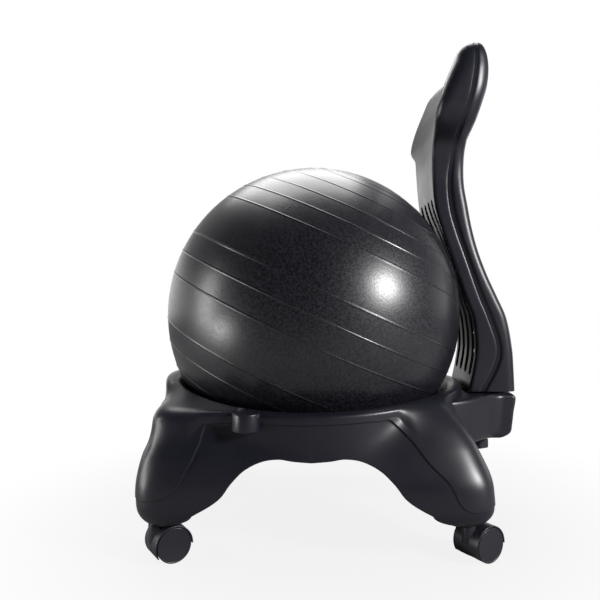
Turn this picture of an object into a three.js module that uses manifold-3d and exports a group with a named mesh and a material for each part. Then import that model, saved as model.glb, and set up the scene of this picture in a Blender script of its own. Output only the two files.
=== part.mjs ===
// Balance ball chair. A four-legged moulded ring on twin-wheel casters carries an inflated ball,
// and a T-shaped backrest stands on the ring's rear block, held from below by two hand knobs.
// Millimetres, +Z up. The sitter faces -Y, +X is the sitter's left, and the origin lies on the
// floor under the middle of the chair's footprint.

import * as THREE from 'three';
import { mergeVertices } from 'three/addons/utils/BufferGeometryUtils.js';
import Module from 'manifold-3d';

// Fits and cuts
const touchGap = 0.3;
const cutOverrun = 2;
const weldDistance = 0.0001;
const roundSides = 12;
const largeRoundSides = 24;

// Ball
const ballRadius = 252.5;
const ballSkin = 1.5;
const ballTilt = 24.7;
const ballSeatGap = 0.6;
const valveHoleRadius = 5;
const valveBossRadius = 13;
const valveBossDepth = 12;
const plugFlangeRadius = 9;
const plugFlangeThickness = 1.6;
const plugFlangeBevel = 1.8;
const plugLength = 19;
const plugTipRadius = 3.6;
const ballSegments = 32;
const ballBands = 18;

// Ring, measured outwards from the ball that it carries
const rimHeight = 217;
const crownInset = 20.5;
const crownInnerRadius = ballRadius - crownInset;
const seatWidth = 70;
const holeRadius = crownInnerRadius - seatWidth;
const crownWidth = 7;
const crownRadius = crownInnerRadius + crownWidth;
const crownDrop = 5;
const lipWidth = 15.5;
const lipRadius = crownRadius + lipWidth;
const lipHeight = 13;
const lipStep = 3;
const lipRounding = 10;
const lobeRounding = 16;
const rimFrontRise = 26;
const rimFrontPower = 2.6;
const rimRearRise = 14;
const rimRearPower = 1.5;
const shoulderDrop = 2;
const ringWall = 5;
const ringSegments = 72;

// The ball rests where its surface comes down to the crown
const seatReach = ballRadius + ballSeatGap;
const seatRise = 28.53;
const ballCentreHeight = rimHeight + seatRise + Math.sqrt(seatReach ** 2 - crownInnerRadius ** 2);

// Casters
const wheelRadius = 25;
const wheelFacets = 24;
const wheelWidth = 17;
const wheelRimWidth = 3;
const wheelDish = 1.2;
const wheelWebThickness = 5;
const wheelHubRadius = 7;
const casterForkWidth = 13;
const casterWebThickness = 6;
const wheelSideGap = 0.5;
const hoodClearance = 3;
const hoodRadius = wheelRadius + hoodClearance;
const hoodWall = 1.8;
const hoodFrontAngle = 188;
const hoodRearAngle = -8;
const hoodSteps = 12;
const hoodNoseRadius = 10;
const axleRadius = 3;
const casterTrail = 20;
const casterSwivel = 33;

// Legs, which stand on the casters' collars
const footClearance = 6;
const footHeight = wheelRadius * 2 + footClearance;
const skirtDepth = 65;
const archHeight = rimHeight - skirtDepth;
const footSpread = 5.5;
const footReach = lipRadius + footSpread;
const legCornerPower = 12;
const legBlendPower = 40;
const stemAcrossShare = 0.8423;
const stemX = footReach * stemAcrossShare;
const stemAlongShare = 0.8654;
const stemY = footReach * stemAlongShare;
const soleThickness = 6;
const soleRadius = 33;
const bossRadius = 11.3;
const bossHeight = 62;
const legRibThickness = 4;
const legRibDrop = 24;
const legRibHeight = 42;

// Caster stems in their sockets
const stemRadius = 5.5;
const stemRise = 5;
const stemBottom = wheelRadius + stemRise;
const stemLength = 36;
const stemTop = footHeight + stemLength;
const stemBevel = 1.7;
const stemHousingFloor = 3;
const collarRadius = 8;
const collarThickness = 2;
const gripRingRadius = 6.3;
const gripRingHeight = 3;
const gripGrooveDepth = 1;
const gripRingRise = 24;
const gripRingZ = footHeight + gripRingRise;
const socketRadius = 8.2;
const socketLength = 40;
const socketTop = footHeight + socketLength;
const socketFlangeRadius = 10.5;
const socketFlangeThickness = 1.6;

// Joint between the two halves of the base
const jointY = -92;
const jointBossInset = 16.5;
const jointBossX = lipRadius - jointBossInset;
const jointBossRadius = 20.5;
const jointBossHeight = 27;
const jointBossDrop = 1.5;

// Rear block, its recess and the bosses for the backrest
const blockHalfWidth = 83;
const blockRootHalfWidth = 150;
const blockRootInset = 8.5;
const blockRootRadius = lipRadius - blockRootInset;
const blockDepth = 79.5;
const blockRear = lipRadius + blockDepth;
const blockTopDrop = 1;
const blockTop = rimHeight - blockTopDrop;
const blockThickness = 73;
const blockBottom = blockTop - blockThickness;
const blockColumns = 10;
const blockLayers = 6;
const recessHalfWidth = 72;
const recessRearWall = 26;
const recessRear = blockRear - recessRearWall;
const recessLength = 54;
const recessFront = recessRear - recessLength;
const recessFloor = 6;
const boltX = 36;
const boltY = (recessFront + recessRear) / 2;
const hexSides = 6;
const hexAcrossFlats = 44;
const hexTopDrop = 11;
const hexTop = blockTop - hexTopDrop;

// Backrest
const backrestLift = 3;
const backrestBottom = blockTop + backrestLift;
const backrestHeight = 557;
const backrestTop = backrestBottom + backrestHeight;
const backrestCentreDip = 9;
const spigotInset = 3;
const backrestFront = recessFront + spigotInset;
const backrestOverhang = 2;
const backrestRear = blockRear + backrestOverhang;
const backrestBow = 80;
const barHalfWidth = 82;
const headHalfWidth = 168;
const headWrap = 14;
const backDish = 10;
const backColumns = 8;
const slotEndSides = 8;
const shellWall = 4;
const slotWidth = 19;
const slotPitch = 36;
const frontSlotCount = 4;
const frontSlotRise = 25;
const frontSlotBottom = backrestBottom + frontSlotRise;
const frontSlotDrop = 236;
const frontSlotTop = backrestTop - frontSlotDrop;
const rearSlotWidth = 12;
const rearSlotPitch = 34;
const rearSlotCount = 3;
const rearSlotRise = 116;
const rearSlotBottom = backrestBottom + rearSlotRise;
const rearSlotDrop = 176;
const rearSlotTop = backrestTop - rearSlotDrop;
const postHalfWidth = 22;
const postHeight = 31;
const postTop = backrestBottom + postHeight;
const postInset = 12;
const postFront = backrestFront + postInset;
const pegRadius = 4;
const pegLength = 8;
const pegBossRadius = 7;
const headPegX = 112;
const headPegDrop = 68;
const headPegZ = backrestTop - headPegDrop;
const barPegX = 50;
const barPegDrop = 184;
const barPegZ = backrestTop - barPegDrop;
const pegSides = 8;

// Hand knobs, studs and inserts
const studRadius = 4;
const boreGap = 0.4;
const threadEngagement = 15;
const insertRadius = 6;
const insertLength = 20;
const washerRadius = 13;
const washerThickness = 2;
const knobRadius = 18;
const knobHeight = 22;
const knobRimHeight = 15;
const knobHubRadius = 10;
const knobLobes = 6;
const knobLobeDepth = 2.2;
const knobStepsPerLobe = 6;
const studInKnob = 14;

// Shares that shape the legs from the sole up to the rim, the skirt's lower edge away from a
// leg's middle, and the backrest from its lower end up
const legHeightShares = [0, 0.04, 0.12, 0.25, 0.4, 0.6, 0.75, 0.9, 1];
const frontLegShares = [0.915, 0.942, 0.965, 0.971, 0.965, 0.938, 0.9, 0.881, 0.885];
const rearLegShares = [0.935, 0.969, 0.996, 0.996, 0.983, 0.931, 0.883, 0.815, 0.738];
const archAngleShares = [0, 0.1, 0.2, 0.29, 0.37, 0.42, 0.47, 0.54, 0.65, 0.77, 0.87, 1];
const archDropShares = [0, 0.005, 0.1, 0.24, 0.375, 0.49, 0.68, 0.865, 1, 1.045, 1.02, 1];
const skirtShares = [0.25, 0.5, 0.75, 0.92];
const seatShares = [0, 0.3, 0.65];
const legCoreShare = 0.3;
const legEdgeShare = 0.62;
const roundingInShare = 0.25;
const roundingDownShare = 0.4;

// Shares of the rear block's reach from its lower edge up, and of its depth where its sides are
// drawn in to the full
const blockHeightShares = [0, 0.12, 0.3, 0.6, 0.9, 1];
const blockRearShares = [0.93, 0.972, 0.982, 0.99, 1, 0.992];
const blockTaperShare = 0.8;

// Shares of the backrest's height where its head begins to wrap forwards, where it is wrapped to
// the full, and where its top edge begins to dip
const headStartShare = 0.66;
const headFullShare = 0.8;
const backHeightShares = [
  0, 0.06, 0.13, 0.22, 0.28, 0.34, 0.41, 0.48, 0.55, 0.62, 0.69,
  0.735, 0.765, 0.785, 0.82, 0.87, 0.925, 0.97, 1,
];
const frontBowShares = [
  0, 0.09, 0.15, 0.09, -0.07, -0.22, -0.39, -0.56, -0.71, -0.77, -0.79,
  -0.765, -0.745, -0.725, -0.66, -0.56, -0.44, -0.32, -0.15,
];
const backDishShares = [
  0, 0, 0, 0, 0.3, 0.8, 0.9, 0.55, 0.2, 0, 0,
  0, 0, 0, 0, 0, 0, 0, 0,
];
const rearBowShares = [
  0, -0.025, -0.065, -0.19, -0.375, -0.57, -0.76, -0.9, -1, -1.09, -1.1,
  -1.045, -0.96, -0.89, -0.8, -0.695, -0.67, -0.73, -0.9,
];
const backWidthShares = [
  0.93, 0.95, 0.97, 0.985, 0.99, 0.995, 1, 1.01, 1.03, 1.07, 1.14,
  1.3, 1.7, 1.86, 2, 2.048, 2.02, 1.85, 1.35,
];
const partingShare = 0.55;

const wasm = await Module();
wasm.setup();

// Materials
function plastic(color, roughness) {
  return new THREE.MeshStandardMaterial({ color, roughness, metalness: 0 });
}

function metal(color, roughness) {
  return new THREE.MeshStandardMaterial({ color, roughness, metalness: 1 });
}

const mouldedBlack = () => plastic('#26262a', 0.42);
const ballVinyl = () => plastic('#3a3a3f', 0.38);
const casterNylon = () => plastic('#202124', 0.5);
const zincSteel = () => metal('#b9bcc0', 0.35);
const brass = () => metal('#c2a35b', 0.35);

// Solids for joins and cuts
function solidOf(geometry) {
  const bare = geometry.clone();
  bare.deleteAttribute('normal');
  bare.deleteAttribute('uv');
  const merged = mergeVertices(bare, weldDistance);
  return new wasm.Manifold(new wasm.Mesh({
    numProp: 3,
    vertProperties: new Float32Array(merged.attributes.position.array),
    triVerts: new Uint32Array(merged.index.array),
  }));
}

function geometryOf(solid) {
  const mesh = solid.getMesh();
  const geometry = new THREE.BufferGeometry();
  geometry.setAttribute('position', new THREE.BufferAttribute(mesh.vertProperties, 3));
  geometry.setIndex(new THREE.BufferAttribute(mesh.triVerts, 1));
  geometry.computeVertexNormals();
  return geometry;
}

function joined(first, ...others) {
  return others.reduce((whole, other) => whole.add(other), first);
}

// Shapes
function block(x0, x1, y0, y1, z0, z1) {
  const geometry = new THREE.BoxGeometry(x1 - x0, y1 - y0, z1 - z0);
  geometry.translate((x0 + x1) / 2, (y0 + y1) / 2, (z0 + z1) / 2);
  return solidOf(geometry);
}

function uprightCylinder(radius, x, y, z0, z1, sides = roundSides) {
  const geometry = new THREE.CylinderGeometry(radius, radius, z1 - z0, sides);
  geometry.rotateX(Math.PI / 2);
  geometry.translate(x, y, (z0 + z1) / 2);
  return solidOf(geometry);
}

function cylinderAlongX(radius, x0, x1, y, z, sides = roundSides) {
  const geometry = new THREE.CylinderGeometry(radius, radius, x1 - x0, sides);
  geometry.rotateZ(Math.PI / 2);
  geometry.translate((x0 + x1) / 2, y, z);
  return solidOf(geometry);
}

function cylinderAlongY(radius, x, z, y0, y1, sides = pegSides) {
  const geometry = new THREE.CylinderGeometry(radius, radius, y1 - y0, sides);
  geometry.translate(x, (y0 + y1) / 2, z);
  return solidOf(geometry);
}

// A box whose grid of vertices is moved to place(u, v, w), with each share running from 0 to 1
function shapedBox(columns, layers, rows, place) {
  const geometry = new THREE.BoxGeometry(1, 1, 1, columns, layers, rows);
  const corner = geometry.attributes.position;
  for (let i = 0; i < corner.count; i += 1) {
    const point = place(corner.getX(i) + 0.5, corner.getY(i) + 0.5, corner.getZ(i) + 0.5);
    corner.setXYZ(i, point.x, point.y, point.z);
  }
  return solidOf(geometry);
}

// A turned ring whose closed section, a list of radius and height, changes with the angle
function changingLathe(sectionAt, segments) {
  const first = sectionAt(0);
  const outline = [...first, first[0]].map(([radius, height]) => new THREE.Vector2(radius, height));
  const geometry = new THREE.LatheGeometry(outline, segments);
  geometry.rotateX(Math.PI / 2);
  const corner = geometry.attributes.position;
  for (let i = 0; i < corner.count; i += 1) {
    const step = Math.floor(i / outline.length) % segments;
    const angle = (step / segments) * 2 * Math.PI;
    const [radius, height] = sectionAt(angle)[(i % outline.length) % first.length];
    corner.setXYZ(i, radius * Math.cos(angle), radius * Math.sin(angle), height);
  }
  return geometry;
}

function turned(outline, segments) {
  const points = outline.map(([radius, height]) => new THREE.Vector2(radius, height));
  const geometry = new THREE.LatheGeometry(points, segments);
  geometry.rotateX(Math.PI / 2);
  return geometry;
}

function outward(solid) {
  return solid.volume() < 0 ? solidOf(flipped(geometryOf(solid))) : solid;
}

function flipped(geometry) {
  const order = geometry.index.array;
  for (let i = 0; i < order.length; i += 3) {
    [order[i], order[i + 1]] = [order[i + 1], order[i]];
  }
  return geometry;
}

function along(stops, values, share) {
  const last = stops.length - 1;
  if (share <= stops[0]) return values[0];
  if (share >= stops[last]) return values[last];
  const upper = stops.findIndex((stop) => stop > share);
  const step = (share - stops[upper - 1]) / (stops[upper] - stops[upper - 1]);
  return THREE.MathUtils.lerp(values[upper - 1], values[upper], step);
}

// The scene
const chair = new THREE.Group();

function add(parent, name, shape, material) {
  const geometry = shape.isBufferGeometry ? shape : geometryOf(shape);
  const mesh = new THREE.Mesh(geometry, material);
  mesh.name = name;
  parent.add(mesh);
  return mesh;
}

// Ring and legs
const legAngle = Math.atan2(stemY, stemX);

function angleFromLeg(angle) {
  const folded = Math.atan2(Math.abs(Math.sin(angle)), Math.abs(Math.cos(angle)));
  const span = folded < legAngle ? legAngle : Math.PI / 2 - legAngle;
  return Math.abs(folded - legAngle) / span;
}

function crownHeight(angle) {
  const towardsEnd = Math.abs(Math.sin(angle));
  const front = Math.sin(angle) < 0;
  const rise = front ? rimFrontRise * towardsEnd ** rimFrontPower : rimRearRise * towardsEnd ** rimRearPower;
  return rimHeight + rise;
}

function outerRadius(angle, height, circleRadius) {
  const front = Math.sin(angle) < 0;
  const climb = (height - footHeight) / (rimHeight - footHeight);
  const reach = footReach * along(legHeightShares, front ? frontLegShares : rearLegShares, climb);
  const cornerSum = Math.abs(Math.cos(angle)) ** legCornerPower + Math.abs(Math.sin(angle)) ** legCornerPower;
  const corner = reach / cornerSum ** (1 / legCornerPower);
  const ratio = corner / circleRadius;
  return circleRadius * (1 + ratio ** legBlendPower) ** (1 / legBlendPower);
}

function skirtBottom(angle) {
  return footHeight + (archHeight - footHeight) * along(archAngleShares, archDropShares, angleFromLeg(angle));
}

function seatHeight(radius) {
  return ballCentreHeight - Math.sqrt(seatReach ** 2 - radius ** 2);
}

function ringSection(angle) {
  const crown = crownHeight(angle);
  const nearLeg = 1 - THREE.MathUtils.smoothstep(angleFromLeg(angle), legCoreShare, legEdgeShare);
  const lobe = Math.sin(angle) < 0 ? nearLeg : 0;
  const shoulder = THREE.MathUtils.lerp(crown - shoulderDrop, rimHeight, lobe);
  const top = outerRadius(angle, rimHeight, lipRadius);
  const rounding = THREE.MathUtils.lerp(lipRounding, lobeRounding, lobe);
  const step = lipStep * (1 - nearLeg);
  const lipBottom = shoulder - lipHeight;
  const bottom = skirtBottom(angle);
  const endDrop = seatHeight(crownInnerRadius) - (crown - crownDrop);
  const flange = seatShares.map((share) => {
    const radius = THREE.MathUtils.lerp(holeRadius, crownInnerRadius, share);
    return [radius, seatHeight(radius) - endDrop * share ** 2];
  });
  const skirt = [...skirtShares, 1].map((share) => {
    const height = THREE.MathUtils.lerp(lipBottom, bottom, share);
    return [outerRadius(angle, height, lipRadius) - step, height];
  });
  const inside = skirt.map(([radius, height]) => [radius - ringWall, height]).reverse();
  const underFlange = flange.map(([radius, height]) => [radius, height - ringWall]).reverse();
  return [
    ...flange,
    [crownInnerRadius, crown - crownDrop],
    [crownRadius, crown],
    [top - rounding, shoulder],
    [top - rounding * roundingInShare, shoulder - rounding * roundingDownShare],
    [top, lipBottom],
    [top - step, lipBottom - touchGap],
    ...skirt,
    ...inside,
    [top - step - ringWall, lipBottom - ringWall],
    [crownRadius, crown - ringWall - crownDrop],
    ...underFlange,
  ];
}

function legParts(x, y) {
  const soleShare = 1 - (soleRadius - bossRadius) / Math.hypot(stemX, stemY);
  const sole = uprightCylinder(
    soleRadius, x * soleShare, y * soleShare, footHeight, footHeight + soleThickness, largeRoundSides,
  );
  const boss = uprightCylinder(bossRadius, x, y, footHeight, footHeight + bossHeight);
  const ribZ = footHeight + legRibDrop;
  const half = legRibThickness / 2;
  const sideX = Math.sign(x) * (footReach - lipRounding * 2);
  const sideY = Math.sign(y) * (footReach - lipRounding * 2);
  const ribX = block(Math.min(x, sideX), Math.max(x, sideX), y - half, y + half, ribZ, ribZ + legRibHeight);
  const ribY = block(x - half, x + half, Math.min(y, sideY), Math.max(y, sideY), ribZ, ribZ + legRibHeight);
  return joined(sole, boss, ribX, ribY);
}

const legPlaces = [
  ['front_left', stemX, -stemY],
  ['front_right', -stemX, -stemY],
  ['rear_left', stemX, stemY],
  ['rear_right', -stemX, stemY],
];

function rearBlock() {
  return shapedBox(blockColumns, blockLayers, blockHeightShares.length - 1, (u, v, w) => {
    const taper = THREE.MathUtils.smoothstep(v, 0, blockTaperShare);
    const x = (2 * u - 1) * THREE.MathUtils.lerp(blockRootHalfWidth, blockHalfWidth, taper);
    const root = Math.sqrt(blockRootRadius ** 2 - x ** 2);
    const rear = blockRear * along(blockHeightShares, blockRearShares, w);
    const z = THREE.MathUtils.lerp(blockBottom, blockTop, w);
    return new THREE.Vector3(x, THREE.MathUtils.lerp(root, rear, v), z);
  });
}

function studBore(x, radius, z0, z1) {
  return uprightCylinder(radius, x, boltY, z0, z1);
}

function wholeBase() {
  let base = outward(solidOf(changingLathe(ringSection, ringSegments)));
  for (const [, x, y] of legPlaces) {
    base = base.add(legParts(x, y));
  }
  base = base.add(rearBlock());
  const floor = blockBottom + recessFloor;
  base = base.subtract(block(
    -recessHalfWidth, recessHalfWidth, recessFront, recessRear, floor, ballCentreHeight,
  ));
  for (const side of [-1, 1]) {
    const hexRadius = hexAcrossFlats / 2 / Math.cos(Math.PI / hexSides);
    const x = side * boltX;
    base = base.add(uprightCylinder(hexRadius, x, boltY, floor - cutOverrun, hexTop, hexSides));
    base = base.subtract(studBore(x, studRadius + boreGap, blockBottom - cutOverrun, hexTop + cutOverrun));
  }
  for (const [, x, y] of legPlaces) {
    const sleeve = uprightCylinder(
      socketRadius + touchGap, x, y, footHeight - cutOverrun, socketTop + touchGap,
    );
    const flangeTop = footHeight + socketFlangeThickness + touchGap;
    const flange = uprightCylinder(socketFlangeRadius + touchGap, x, y, footHeight - cutOverrun, flangeTop);
    base = base.subtract(sleeve.add(flange));
  }
  return base;
}

const base = wholeBase();
const jointTop = crownHeight(Math.atan2(jointY, jointBossX)) - jointBossDrop;
const chairReach = 2 * blockRear;

function jointBosses(radius, bottom, top) {
  const left = uprightCylinder(radius, jointBossX, jointY, bottom, top, largeRoundSides);
  const right = uprightCylinder(radius, -jointBossX, jointY, bottom, top, largeRoundSides);
  return left.add(right);
}

const frontRegion = block(-chairReach, chairReach, -chairReach, jointY - touchGap / 2, 0, chairReach);
const rearRegion = block(-chairReach, chairReach, jointY + touchGap / 2, chairReach, 0, chairReach);
const jointBottom = jointTop - jointBossHeight;
const jointSocket = jointBosses(
  jointBossRadius + touchGap, jointBottom - touchGap, jointTop + lipHeight,
);
const frontHalf = base.intersect(frontRegion).subtract(jointSocket);
const rearHalf = base.intersect(rearRegion).add(jointBosses(jointBossRadius, jointBottom, jointTop));

add(chair, 'base_front_half', frontHalf, mouldedBlack());
add(chair, 'base_rear_half', rearHalf, mouldedBlack());

// Ball and its plug, turned about the ball's own axis and tilted back
const ballGroup = new THREE.Group();
ballGroup.position.set(0, 0, ballCentreHeight);
ballGroup.rotation.x = -THREE.MathUtils.degToRad(ballTilt);
chair.add(ballGroup);

function ballOutline() {
  const outline = [];
  const holeAngle = Math.asin(valveHoleRadius / ballRadius);
  const bossAngle = Math.asin(valveBossRadius / ballRadius);
  for (let i = 0; i <= ballBands; i += 1) {
    const angle = THREE.MathUtils.lerp(Math.PI, holeAngle, i / ballBands);
    outline.push([i === 0 ? 0 : ballRadius * Math.sin(angle), -ballRadius * Math.cos(angle)]);
  }
  const inner = ballRadius - ballSkin;
  const bossInner = ballRadius - valveBossDepth;
  outline.push([valveHoleRadius, -bossInner]);
  outline.push([valveBossRadius, -bossInner]);
  for (let i = 0; i <= ballBands; i += 1) {
    const angle = THREE.MathUtils.lerp(bossAngle, Math.PI, i / ballBands);
    outline.push([i === ballBands ? 0 : inner * Math.sin(angle), -inner * Math.cos(angle)]);
  }
  return outline;
}

function plugOutline() {
  const shankRadius = valveHoleRadius - boreGap;
  const top = -ballRadius + plugLength;
  const seat = -ballRadius - touchGap;
  return [
    [0, seat - plugFlangeThickness],
    [plugFlangeRadius - plugFlangeBevel, seat - plugFlangeThickness],
    [plugFlangeRadius, seat - plugFlangeThickness / 2],
    [plugFlangeRadius, seat],
    [shankRadius, seat],
    [plugTipRadius, top],
    [0, top],
  ];
}

add(ballGroup, 'ball', outward(solidOf(turned(ballOutline(), ballSegments))), ballVinyl());
add(ballGroup, 'ball_plug', outward(solidOf(turned(plugOutline(), roundSides))), plastic('#d9d9d6', 0.5));

// Backrest shells
function backHeight(w, u) {
  const row = w * (backHeightShares.length - 1);
  const lower = Math.min(Math.floor(row), backHeightShares.length - 2);
  const share = THREE.MathUtils.lerp(backHeightShares[lower], backHeightShares[lower + 1], row - lower);
  const nearTop = THREE.MathUtils.smoothstep(share, headFullShare, 1);
  const dip = backrestCentreDip * (1 - (2 * u - 1) ** 2) * nearTop;
  return { share, z: backrestBottom + backrestHeight * share - dip };
}

function backHalfWidth(share) {
  return barHalfWidth * along(backHeightShares, backWidthShares, share);
}

function headShare(share) {
  return THREE.MathUtils.smoothstep(share, headStartShare, headFullShare);
}

function backFace(startY, shares, share, x) {
  const wrap = headWrap * headShare(share) * (x / headHalfWidth) ** 2;
  return startY + backrestBow * along(backHeightShares, shares, share) - wrap;
}

function frontFace(share, x) {
  const dish = backDish * along(backHeightShares, backDishShares, share);
  const across = Math.max(0, 1 - (x / barHalfWidth) ** 2);
  return backFace(backrestFront, frontBowShares, share, x) + dish * across;
}

function rearFace(share, x) {
  return backFace(backrestRear, rearBowShares, share, x);
}

function partingFace(share, x) {
  return THREE.MathUtils.lerp(frontFace(share, x), rearFace(share, x), partingShare);
}

// A body of the backrest between two of its faces, drawn in by inset along its outline. Its ends
// at the bottom and the top are moved by their own shifts.
function backBody(nearFace, farFace, inset, bottomShift, topShift) {
  return shapedBox(backColumns, 1, backHeightShares.length - 1, (u, v, w) => {
    const { share, z } = backHeight(w, u);
    const x = (2 * u - 1) * (backHalfWidth(share) - inset);
    const near = nearFace(share, x);
    const far = farFace(share, x);
    const shift = (w === 0 ? bottomShift : 0) + (w === 1 ? topShift : 0);
    return new THREE.Vector3(x, THREE.MathUtils.lerp(near, far, v), z + shift);
  });
}

function slotCuts(count, width, pitch, bottom, top) {
  let cuts = null;
  for (let i = 0; i < count; i += 1) {
    const x = (i - (count - 1) / 2) * pitch;
    const radius = width / 2;
    const body = block(x - radius, x + radius, 0, chairReach, bottom + radius, top - radius);
    const lower = cylinderAlongY(radius, x, bottom + radius, 0, chairReach, slotEndSides);
    const upper = cylinderAlongY(radius, x, top - radius, 0, chairReach, slotEndSides);
    const slot = joined(body, lower, upper);
    cuts = cuts ? cuts.add(slot) : slot;
  }
  return cuts;
}

const pegPlaces = [
  [headPegX, headPegZ],
  [-headPegX, headPegZ],
  [barPegX, barPegZ],
  [-barPegX, barPegZ],
];

function heightShare(z) {
  return (z - backrestBottom) / backrestHeight;
}

const backBodyWhole = backBody(frontFace, rearFace, 0, 0, 0);
const backHollow = backBody(
  (share, x) => frontFace(share, x) + shellWall,
  (share, x) => rearFace(share, x) - shellWall,
  shellWall, -cutOverrun, -shellWall,
);
const backSkin = backBodyWhole.subtract(backHollow);
const frontOfParting = backBody(
  (share, x) => frontFace(share, x) - shellWall, partingFace, -cutOverrun, -cutOverrun, cutOverrun,
);
let frontShell = backSkin.intersect(frontOfParting);
frontShell = frontShell.subtract(
  slotCuts(frontSlotCount, slotWidth, slotPitch, frontSlotBottom, frontSlotTop),
);

let rearShell = backSkin.subtract(frontOfParting.translate([0, touchGap, 0]));
rearShell = rearShell.subtract(
  slotCuts(rearSlotCount, rearSlotWidth, rearSlotPitch, rearSlotBottom, rearSlotTop),
);

for (const [x, z] of pegPlaces) {
  const share = heightShare(z);
  const parting = partingFace(share, x);
  const wallHalf = shellWall / 2;
  const bossGap = touchGap + pegRadius / 2;
  const frontBoss = cylinderAlongY(pegBossRadius, x, z, frontFace(share, x) + wallHalf, parting - bossGap);
  const hole = cylinderAlongY(
    pegRadius + touchGap, x, z, parting - bossGap - pegLength - touchGap, parting + cutOverrun,
  );
  frontShell = frontShell.add(frontBoss).subtract(hole);
  const rearBoss = cylinderAlongY(
    pegBossRadius, x, z, parting - bossGap + touchGap, rearFace(share, x) - wallHalf,
  );
  const peg = cylinderAlongY(pegRadius, x, z, parting - bossGap - pegLength, parting + cutOverrun);
  rearShell = rearShell.add(rearBoss).add(peg);
}

const spigotBottom = hexTop + touchGap;
const postRear = rearFace(0, 0) - shellWall / 2;
for (const side of [-1, 1]) {
  const inner = side * boltX - postHalfWidth;
  const outer = side * boltX + postHalfWidth;
  const post = block(inner, outer, postFront, postRear, backrestBottom, postTop);
  const spigotRear = recessRear - spigotInset;
  const spigot = block(
    inner, outer, recessFront + spigotInset, spigotRear, spigotBottom, backrestBottom - touchGap,
  ).add(block(inner, outer, postFront, spigotRear, spigotBottom, backrestBottom + cutOverrun));
  const insertHole = uprightCylinder(
    insertRadius + touchGap, side * boltX, boltY,
    spigotBottom - cutOverrun, spigotBottom + insertLength + touchGap,
  );
  rearShell = rearShell.add(post).add(spigot).subtract(insertHole);
}

add(chair, 'backrest_front_shell', frontShell, mouldedBlack());
add(chair, 'backrest_rear_shell', rearShell, mouldedBlack());

// Inserts, washers, studs and knobs
const washerTop = blockBottom - touchGap;
const knobTop = washerTop - washerThickness - touchGap;
const insertTop = spigotBottom + insertLength;
const studTop = spigotBottom + threadEngagement;

function knobOutline() {
  const shape = new THREE.Shape();
  const steps = knobLobes * knobStepsPerLobe;
  for (let i = 0; i < steps; i += 1) {
    const angle = (i / steps) * 2 * Math.PI;
    const radius = knobRadius - (knobLobeDepth / 2) * (1 - Math.cos(angle * knobLobes));
    const point = [radius * Math.cos(angle), radius * Math.sin(angle)];
    if (i === 0) shape.moveTo(...point);
    else shape.lineTo(...point);
  }
  shape.closePath();
  return shape;
}

for (const [sideName, side] of [['left', 1], ['right', -1]]) {
  const x = side * boltX;
  const insert = uprightCylinder(insertRadius, x, boltY, spigotBottom, insertTop)
    .subtract(studBore(x, studRadius + touchGap, spigotBottom - cutOverrun, insertTop + cutOverrun));
  add(chair, `backrest_insert_${sideName}`, insert, brass());

  const washerBottom = washerTop - washerThickness;
  const washer = uprightCylinder(washerRadius, x, boltY, washerBottom, washerTop, largeRoundSides)
    .subtract(studBore(x, studRadius + boreGap, washerBottom - cutOverrun, washerTop + cutOverrun));
  add(chair, `knob_washer_${sideName}`, washer, zincSteel());

  const rim = new THREE.ExtrudeGeometry(knobOutline(), { depth: knobRimHeight, bevelEnabled: false });
  rim.translate(x, boltY, knobTop - knobHeight);
  const hub = uprightCylinder(knobHubRadius, x, boltY, knobTop - knobHeight + touchGap, knobTop);
  const knob = solidOf(rim).add(hub)
    .subtract(studBore(x, studRadius + touchGap, knobTop - studInKnob - touchGap, knobTop + cutOverrun));
  add(chair, `hand_knob_${sideName}`, knob, mouldedBlack());

  const stud = studBore(x, studRadius, knobTop - studInKnob, studTop);
  add(chair, `knob_stud_${sideName}`, stud, zincSteel());
}

// Casters, one at each foot. Each is made about its stem's axis, with the wheels trailing along +Y.
function stemOutline() {
  const grooveRadius = stemRadius - gripGrooveDepth;
  return [
    [0, stemBottom],
    [stemRadius, stemBottom],
    [stemRadius, gripRingZ],
    [grooveRadius, gripRingZ],
    [grooveRadius, gripRingZ + gripRingHeight],
    [stemRadius, gripRingZ + gripRingHeight],
    [stemRadius, stemTop - stemBevel],
    [stemRadius - stemBevel, stemTop],
    [0, stemTop],
  ];
}

function stemShape() {
  const collarTop = footHeight - touchGap;
  const collar = uprightCylinder(collarRadius, 0, 0, collarTop - collarThickness, collarTop);
  return outward(solidOf(turned(stemOutline(), roundSides))).add(collar);
}

function gripRingShape() {
  const inner = stemRadius - gripGrooveDepth + touchGap;
  const bottom = gripRingZ + touchGap;
  const top = gripRingZ + gripRingHeight - touchGap;
  return uprightCylinder(gripRingRadius, 0, 0, bottom, top)
    .subtract(uprightCylinder(inner, 0, 0, bottom - cutOverrun, top + cutOverrun));
}

function socketShape() {
  const sleeve = uprightCylinder(socketRadius, 0, 0, footHeight, socketTop);
  const flange = uprightCylinder(socketFlangeRadius, 0, 0, footHeight, footHeight + socketFlangeThickness);
  const ringRoom = gripRingRadius + touchGap;
  const bore = uprightCylinder(stemRadius + touchGap, 0, 0, footHeight - cutOverrun, stemTop + cutOverrun);
  const room = uprightCylinder(
    ringRoom, 0, 0, gripRingZ - cutOverrun, gripRingZ + gripRingHeight + cutOverrun,
  );
  return sleeve.add(flange).subtract(bore).subtract(room);
}

const casterHalfWidth = casterForkWidth / 2 + wheelSideGap + wheelWidth;

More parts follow.
